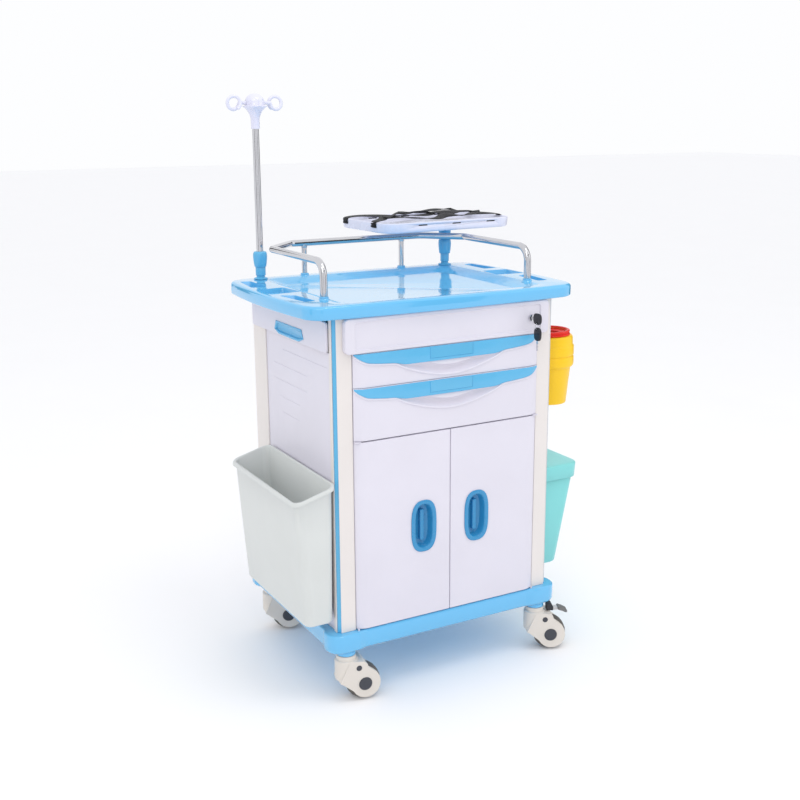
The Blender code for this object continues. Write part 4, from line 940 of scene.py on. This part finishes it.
def build_lock():
    x, z = LOCK
    barrel = mm(
        (0, -236.5), (7.4, -236.5), (7.4, -260.3), (9, -260.3), (9.4, -261), (9.4, -262.2), (8.6, -263.4),
        (7.4, -263.6), (7, -263), (0, -263),
    )
    cam = block((x - 0.03, x + 0.006), (-0.2372, -0.234), (z - 0.004, z + 0.004))
    stand_in("lock_barrel", merge(turned(barrel, (x, 0, z), 48, (0, 1, 0)), cam))
    ring_y, eye_z = KEY_Y - 0.002, 0.905
    ring_z = eye_z - RING_R
    key = stand_in("lock_key", key_head(KEY_Y, z, 0.015, 0.014))
    carve(key, cylinder(0.0026, -0.01, 0.01, (x, ring_y, eye_z), 24, (1, 0, 0)))
    blade = block((x - 0.0011, x + 0.0011), (KEY_Y + 0.01, -0.25), (z - 0.0036, z + 0.0036))
    soften(add_piece("lock_key_blade", blade, "lock", "chrome_tube"), 0.0004)
    ring = [(x + b, ring_y, ring_z + a) for a, b in circle(RING_R, 64)]
    stand_in("key_ring", swept(ring, circle(0.0008, 12), closed=True))
    hang = ring_z - RING_R
    head = key_head(ring_y, hang - 0.012, 0.013, 0.0165)
    spare = add_piece("spare_key_head", head, "key_ring", "key_black")
    carve(spare, cylinder(0.0026, -0.01, 0.01, (x, ring_y, hang), 24, (1, 0, 0)))
    teeth = mm((-3, -26), (3, -26), (3, -53), (1.2, -54.5))
    for i, cut in enumerate((1.6, 0.4, 2, 1, 2.4, 1.2)):
        teeth += mm((-cut, 4 * i - 53), (-cut, 4 * i - 51))
    blade = prism(shifted(teeth, ring_y, hang), x - 0.001, x + 0.001, "X")
    add_piece("spare_key_blade", blade, "key_ring", "chrome_tube")


# Castors
def castor_turn(place):
    depth, side = place.split("_")
    x = CASTOR_X if side == "right" else -CASTOR_X
    y = CASTOR_Y if depth == "back" else -CASTOR_Y
    return Matrix.Translation((x, y, 0)) @ Matrix.Rotation(math.radians(CASTOR_YAW[place]), 4, "Z")


AXLE_CAP = mm((0, 3), (12, 3), (15, 2.7), (16.5, 1.8), (17.2, 0.4), (17.2, -0.6), (0, -0.6))
SCREW = mm((0, 0.5), (3, 0.6), (6.2, 0.9), (7.2, 0.6), (7.2, -0.6), (0, -0.6))


def build_castor(place):
    turn, body = castor_turn(place), f"castor_{place}"
    refined(f"{body}_housing", 0.0022, 4)
    refined(f"{body}_wheel", 0)
    for name, profile, x, z, steps in (
        ("axle_caps", AXLE_CAP, TRAIL, WHEEL_R, 48), ("housing_screws", SCREW, TRAIL - 0.016, 0.0885, 28),
    ):
        pair = [turned(profile, (x, side * 0.029, z), steps, (0, side, 0)) for side in (-1, 1)]
        add_piece(f"{name}_{place}", turned_with(turn, *pair), body, "castor_cream", CAP_DARK)
    if f"{body}_pedal" in NODES:
        build_pedal(place, turn)


def build_pedal(place, turn):
    body = f"pedal_{place}"
    profile = mm(
        (62, 108), (72, 104.8), (83, 99.5), (86.6, 99), (88.2, 101.2), (87.5, 105.2), (76, 111.8), (64, 116),
        (61.5, 114),
    )
    loops = []
    for side, share in ((-1, 0.8), (-0.93, 0.93), (-0.8, 1), (0.8, 1), (0.93, 0.93), (1, 0.8)):
        outline = [(0.0745 + (x - 0.0745) * share, 0.1075 + (z - 0.1075) * share) for x, z in profile]
        loops.append([(x, side * 0.0135, z) for x, z in outline])
    soften(stand_in(f"castor_{place}_pedal", turned_with(turn, loft(loops)), PADDLE_GREY), 0.001)
    hub = mm((31, 106.6), (50, 104.6), (50, 115), (44, 127), (31, 127))
    link = mm((49, 105.5), (65, 106.8), (65, 113.2), (49, 115))
    for name, outline, half, colour, rounding in (
        ("pedal_hub", hub, 0.0095, None, 0.002), ("pedal_link", link, 0.0075, LINK_GREY, 0.0012),
    ):
        shape = turned_with(turn, prism(outline, -half, half, "Y"))
        soften(add_piece(f"{name}_{place}", shape, body, "pedal_grey", colour), rounding)


# Containers
RIM_FALL = 0.03                # how much lower the grey bin's rim is on its outer side


def bin_loop(side, inner_x, outer_x, front_y, back_y, radius, height, run=0):
    """Rounded rectangle beside the cabinet, level or falling by RIM_FALL over a run."""
    centre = ((inner_x + outer_x) / 2, (front_y + back_y) / 2)
    outline = rounded_rect((outer_x - inner_x) / 2, (back_y - front_y) / 2, radius, centre, 12)
    slope = RIM_FALL / run if run else 0
    return [(side * x, y, height - slope * (x - inner_x)) for x, y in outline]


def hanger(side, y_mid, half, z, reach):
    bar = block(sorted((side * 0.3078, side * reach)), (y_mid - half, y_mid + half), (z + 0.0235, z + 0.028))
    leg = block(sorted((side * 0.3078, side * 0.3104)), (y_mid - half, y_mid + half), (z + 0.008, z + 0.026))
    return bar, leg


def build_grey_bin():
    wall = mm(
        (324, 380, -229, 139, 12, 212), (318.5, 386.8, -234.5, 144.5, 17, 212.4),
        (316.2, 389, -237, 147, 19, 214.6), (315.2, 390, -238, 148, 20, 218.5),
        (315.2, 398.5, -242, 148.4, 20.7, 330, 300), (315.1, 407, -246.2, 148.8, 21.4, 450, 150),
        (315, 413.5, -249.6, 149, 22, 552, 99), (314, 416, -252, 150, 22.5, 554.5, 102),
        (311.8, 420.5, -257.5, 152, 24, 555.2, 108), (311.1, 422.2, -259.2, 153.2, 24.8, 557.2, 110),
        (311, 422.5, -259.5, 153.5, 25, 560.5, 110), (311.4, 422, -259, 153.1, 24.7, 563.8, 110),
        (312.4, 420.6, -257.6, 152, 24, 565.5, 108), (314, 418.6, -255.8, 150.6, 23, 565.7, 106),
        (316, 415, -252, 149, 21.5, 564.8, 103), (317.5, 412, -248, 147, 20, 562.5, 94.5),
        (318, 389, -236.5, 146, 18, 230), (319, 386, -234, 144, 16, 217), (323, 381, -230, 140, 12, 215.5),
    )
    body = loft([bin_loop(-1, *row) for row in wall])
    stand_in("waste_bin", merge(body, *hanger(-1, -0.053, 0.047, 0.5, 0.3162)), angle=50)


def build_teal_bin():
    wall = mm(
        (325, 399, -148, 38, 16, 195), (319, 407.5, -155, 45, 21, 195.6), (316.5, 410.5, -158, 48, 23, 197.5),
        (315.5, 412.2, -160, 50, 24, 201), (315.5, 450, -179, 69, 30, 443),
        (316, 449.6, -178.6, 68.6, 30, 444.2), (317.5, 448, -177, 67, 29, 444.4),
        (318, 447.2, -176.2, 66.2, 28, 443), (318, 411, -159, 49, 22, 204), (320, 408, -156, 46, 20, 198.5),
    )
    body = loft([bin_loop(1, *row) for row in wall])
    stand_in("lidded_bin", merge(body, *hanger(1, -0.055, 0.047, 0.38, 0.3167)), angle=50)
    lid = mm(
        (318, 455, -184, 74, 33, 480), (318, 454, -183, 73, 32.5, 445.6),
        (317.5, 454.5, -183.6, 73.6, 33, 445), (315.8, 456, -185, 75, 34, 445),
        (315.5, 456.7, -185.7, 75.7, 34.4, 445.8),
        (315.5, 459, -188, 78, 36, 479.5), (315.6, 458.8, -187.8, 77.8, 35.8, 481.5),
        (316.4, 457.8, -186.8, 76.8, 35.2, 483.5), (318, 455.6, -184.7, 74.7, 34.2, 484.8),
        (320.5, 452.5, -181.5, 71.5, 32, 485.6), (326, 446, -175, 65, 28, 486.2),
        (340, 430, -160, 50, 20, 486.5),
    )
    stand_in("lidded_bin_lid", loft([bin_loop(1, *row) for row in lid]), angle=50)


def build_sharps():
    x, y = SHARPS
    body = mm(
        (0, 652), (45, 652), (48, 652.8), (49, 655), (58.2, 749), (59.2, 751.5), (64, 754.5), (65.8, 757),
        (66.5, 762), (66.5, 776), (66.2, 779), (64.5, 780.6), (64.5, 783), (66.2, 784.6), (66.4, 788),
        (66.2, 806), (65.5, 809.2), (63.6, 810.8), (63, 813), (62.7, 829), (62, 833), (60, 835.6),
        (57.5, 836), (40, 836), (40, 830), (55, 820), (55, 756), (46, 656), (0, 656),
    )
    shapes = (turned(body, (x, y, 0), 96), *hanger(1, y, 0.028, 0.7, 0.3345))
    stand_in("sharps_container", merge(*shapes), angle=45)
    cap = mm(
        (30, 836.8), (52.5, 836.3), (54.5, 837.2), (55, 839.2), (54.5, 841.2), (52, 842.4), (51.8, 844.4),
        (53.8, 845.4), (54.5, 847), (54, 849), (52.2, 850.3), (48, 850.5), (46.2, 849.5), (45.5, 847),
        (45, 844), (32, 841.5), (30, 840.5),
    )
    stand_in("sharps_cap", turned(cap, (x, y, 0), 96, closed=True), angle=45)
    seal = mm((44, 845), (45.2, 845), (45.2, 846.8), (44, 846.8))
    add_piece("sharps_seal", turned(seal, (x, y, 0), 96, closed=True), "sharps_cap", "sharps_red", ORANGE)


# Stage
def build_floor():
    shape = bmesh.new()
    bmesh.ops.create_grid(shape, x_segments=1, y_segments=1, size=30)
    floor = mesh_object("studio_floor", shape)
    floor.location.z = -0.0005
    finish = Finish("floor_paint", Specular_IOR_Level=0.2)
    finish.vary_colour(srgb(250, 250, 252), 0.004, 2.0)
    finish.vary_gloss(0.75, 0.85, 4.0)
    floor.data.materials.append(finish.made)


def build_lights():
    world = bpy.data.worlds.new("studio")
    bpy.context.scene.world = world
    world.use_nodes = True
    background = world.node_tree.nodes["Background"]
    background.inputs["Color"].default_value = (0.985, 0.99, 1.0, 1)
    for name, place, size, power in (
        ("key_softbox", (-2.0, -2.8, 3.4), 2.2, 20.0),
        ("fill_softbox", (3.2, -2.2, 2.6), 2.4, 6.0),
        ("top_softbox", (0.3, -1.4, 3.8), 1.2, 15.0),
    ):
        lamp = bpy.data.lights.new(name, "AREA")
        lamp.shape = "SQUARE"
        lamp.size = size
        lamp.energy = power
        light = bpy.data.objects.new(name, lamp)
        light.location = place
        light.rotation_euler = (Vector((0, 0, 0.6)) - Vector(place)).to_track_quat("-Z", "Y").to_euler()
        bpy.context.collection.objects.link(light)


def build_flags():
    """Dark cards that only show as streaks in glossy and plated surfaces."""
    for name, place, width, height in (
        ("flag_front", (1.5, -2.9, 1.2), 0.3, 1.6), ("flag_left", (-3.0, -0.9, 1.2), 0.28, 1.6),
        ("flag_high", (0.4, -3.0, 2.9), 3.0, 0.14), ("flag_right", (3.0, 0.9, 1.2), 0.9, 1.6),
        ("flag_middle", (-1.6, -3.4, 1.2), 0.14, 1.6), ("flag_back", (-1.2, 3.0, 1.2), 0.22, 0.9),
    ):
        flag = mesh_object(name, block((-width, width), (-0.01, 0.01), (-0.7 * height, height)))
        flag.location = place
        flag.rotation_euler.z = math.atan2(place[1], place[0]) + math.pi / 2
        flag.visible_camera = False
        flag.visible_diffuse = False
        flag.visible_shadow = False
        flag.visible_transmission = False
        flag.data.materials.append(rubber(f"{name}_cloth", (0.02, 0.02, 0.022)))


def build_camera():
    lens = bpy.data.cameras.new("camera")
    lens.sensor_width = 36
    lens.lens = 50.54
    camera = bpy.data.objects.new("camera", lens)
    bpy.context.collection.objects.link(camera)
    yaw, pitch, roll = 0.507, -0.2477, -0.0059
    aim = Matrix.Rotation(-yaw, 4, "Z") @ Matrix.Rotation(math.pi / 2 + pitch, 4, "X")
    place = Vector((-1.3929, -2.5087, 1.4022)) + CART
    camera.matrix_world = Matrix.Translation(place) @ aim @ Matrix.Rotation(roll, 4, "Z")
    bpy.context.scene.camera = camera


# CAD shapes that only need clean faces and rounded edges, and each one's edge radius.
PLAIN_NODES = {
    "column_front_left": 0.001, "column_front_right": 0.001, "column_back_left": 0.001,
    "column_back_right": 0.001, "column_strip_left": 0.0004, "column_strip_right": 0.0004,
    "side_panel_left": 0.0005, "side_panel_right": 0.0005, "back_panel": 0.0008, "drawer_deck": 0.0006,
    "cupboard_shelf": 0.001, "runner_panel_left": 0.0005, "runner_panel_right": 0.0005,
    "drawer_1_box": 0.0008, "drawer_2_box": 0.0008, "drawer_3_box": 0.0008, "side_shelf": 0.0012,
}

build_camera()
build_floor()
build_lights()
build_flags()
build_tray()
build_base()
for plain, rounding in PLAIN_NODES.items():
    refined(plain, rounding)
build_shelf_grip()
build_top_front()
build_lower_front(2)
build_lower_front(3)
build_doors()
build_rail()
build_iv_pole()
build_platform()
build_lock()
for castor in CASTOR_YAW:
    build_castor(castor)
build_grey_bin()
build_teal_bin()
build_sharps()
bpy.context.scene.view_settings.view_transform = "Standard"
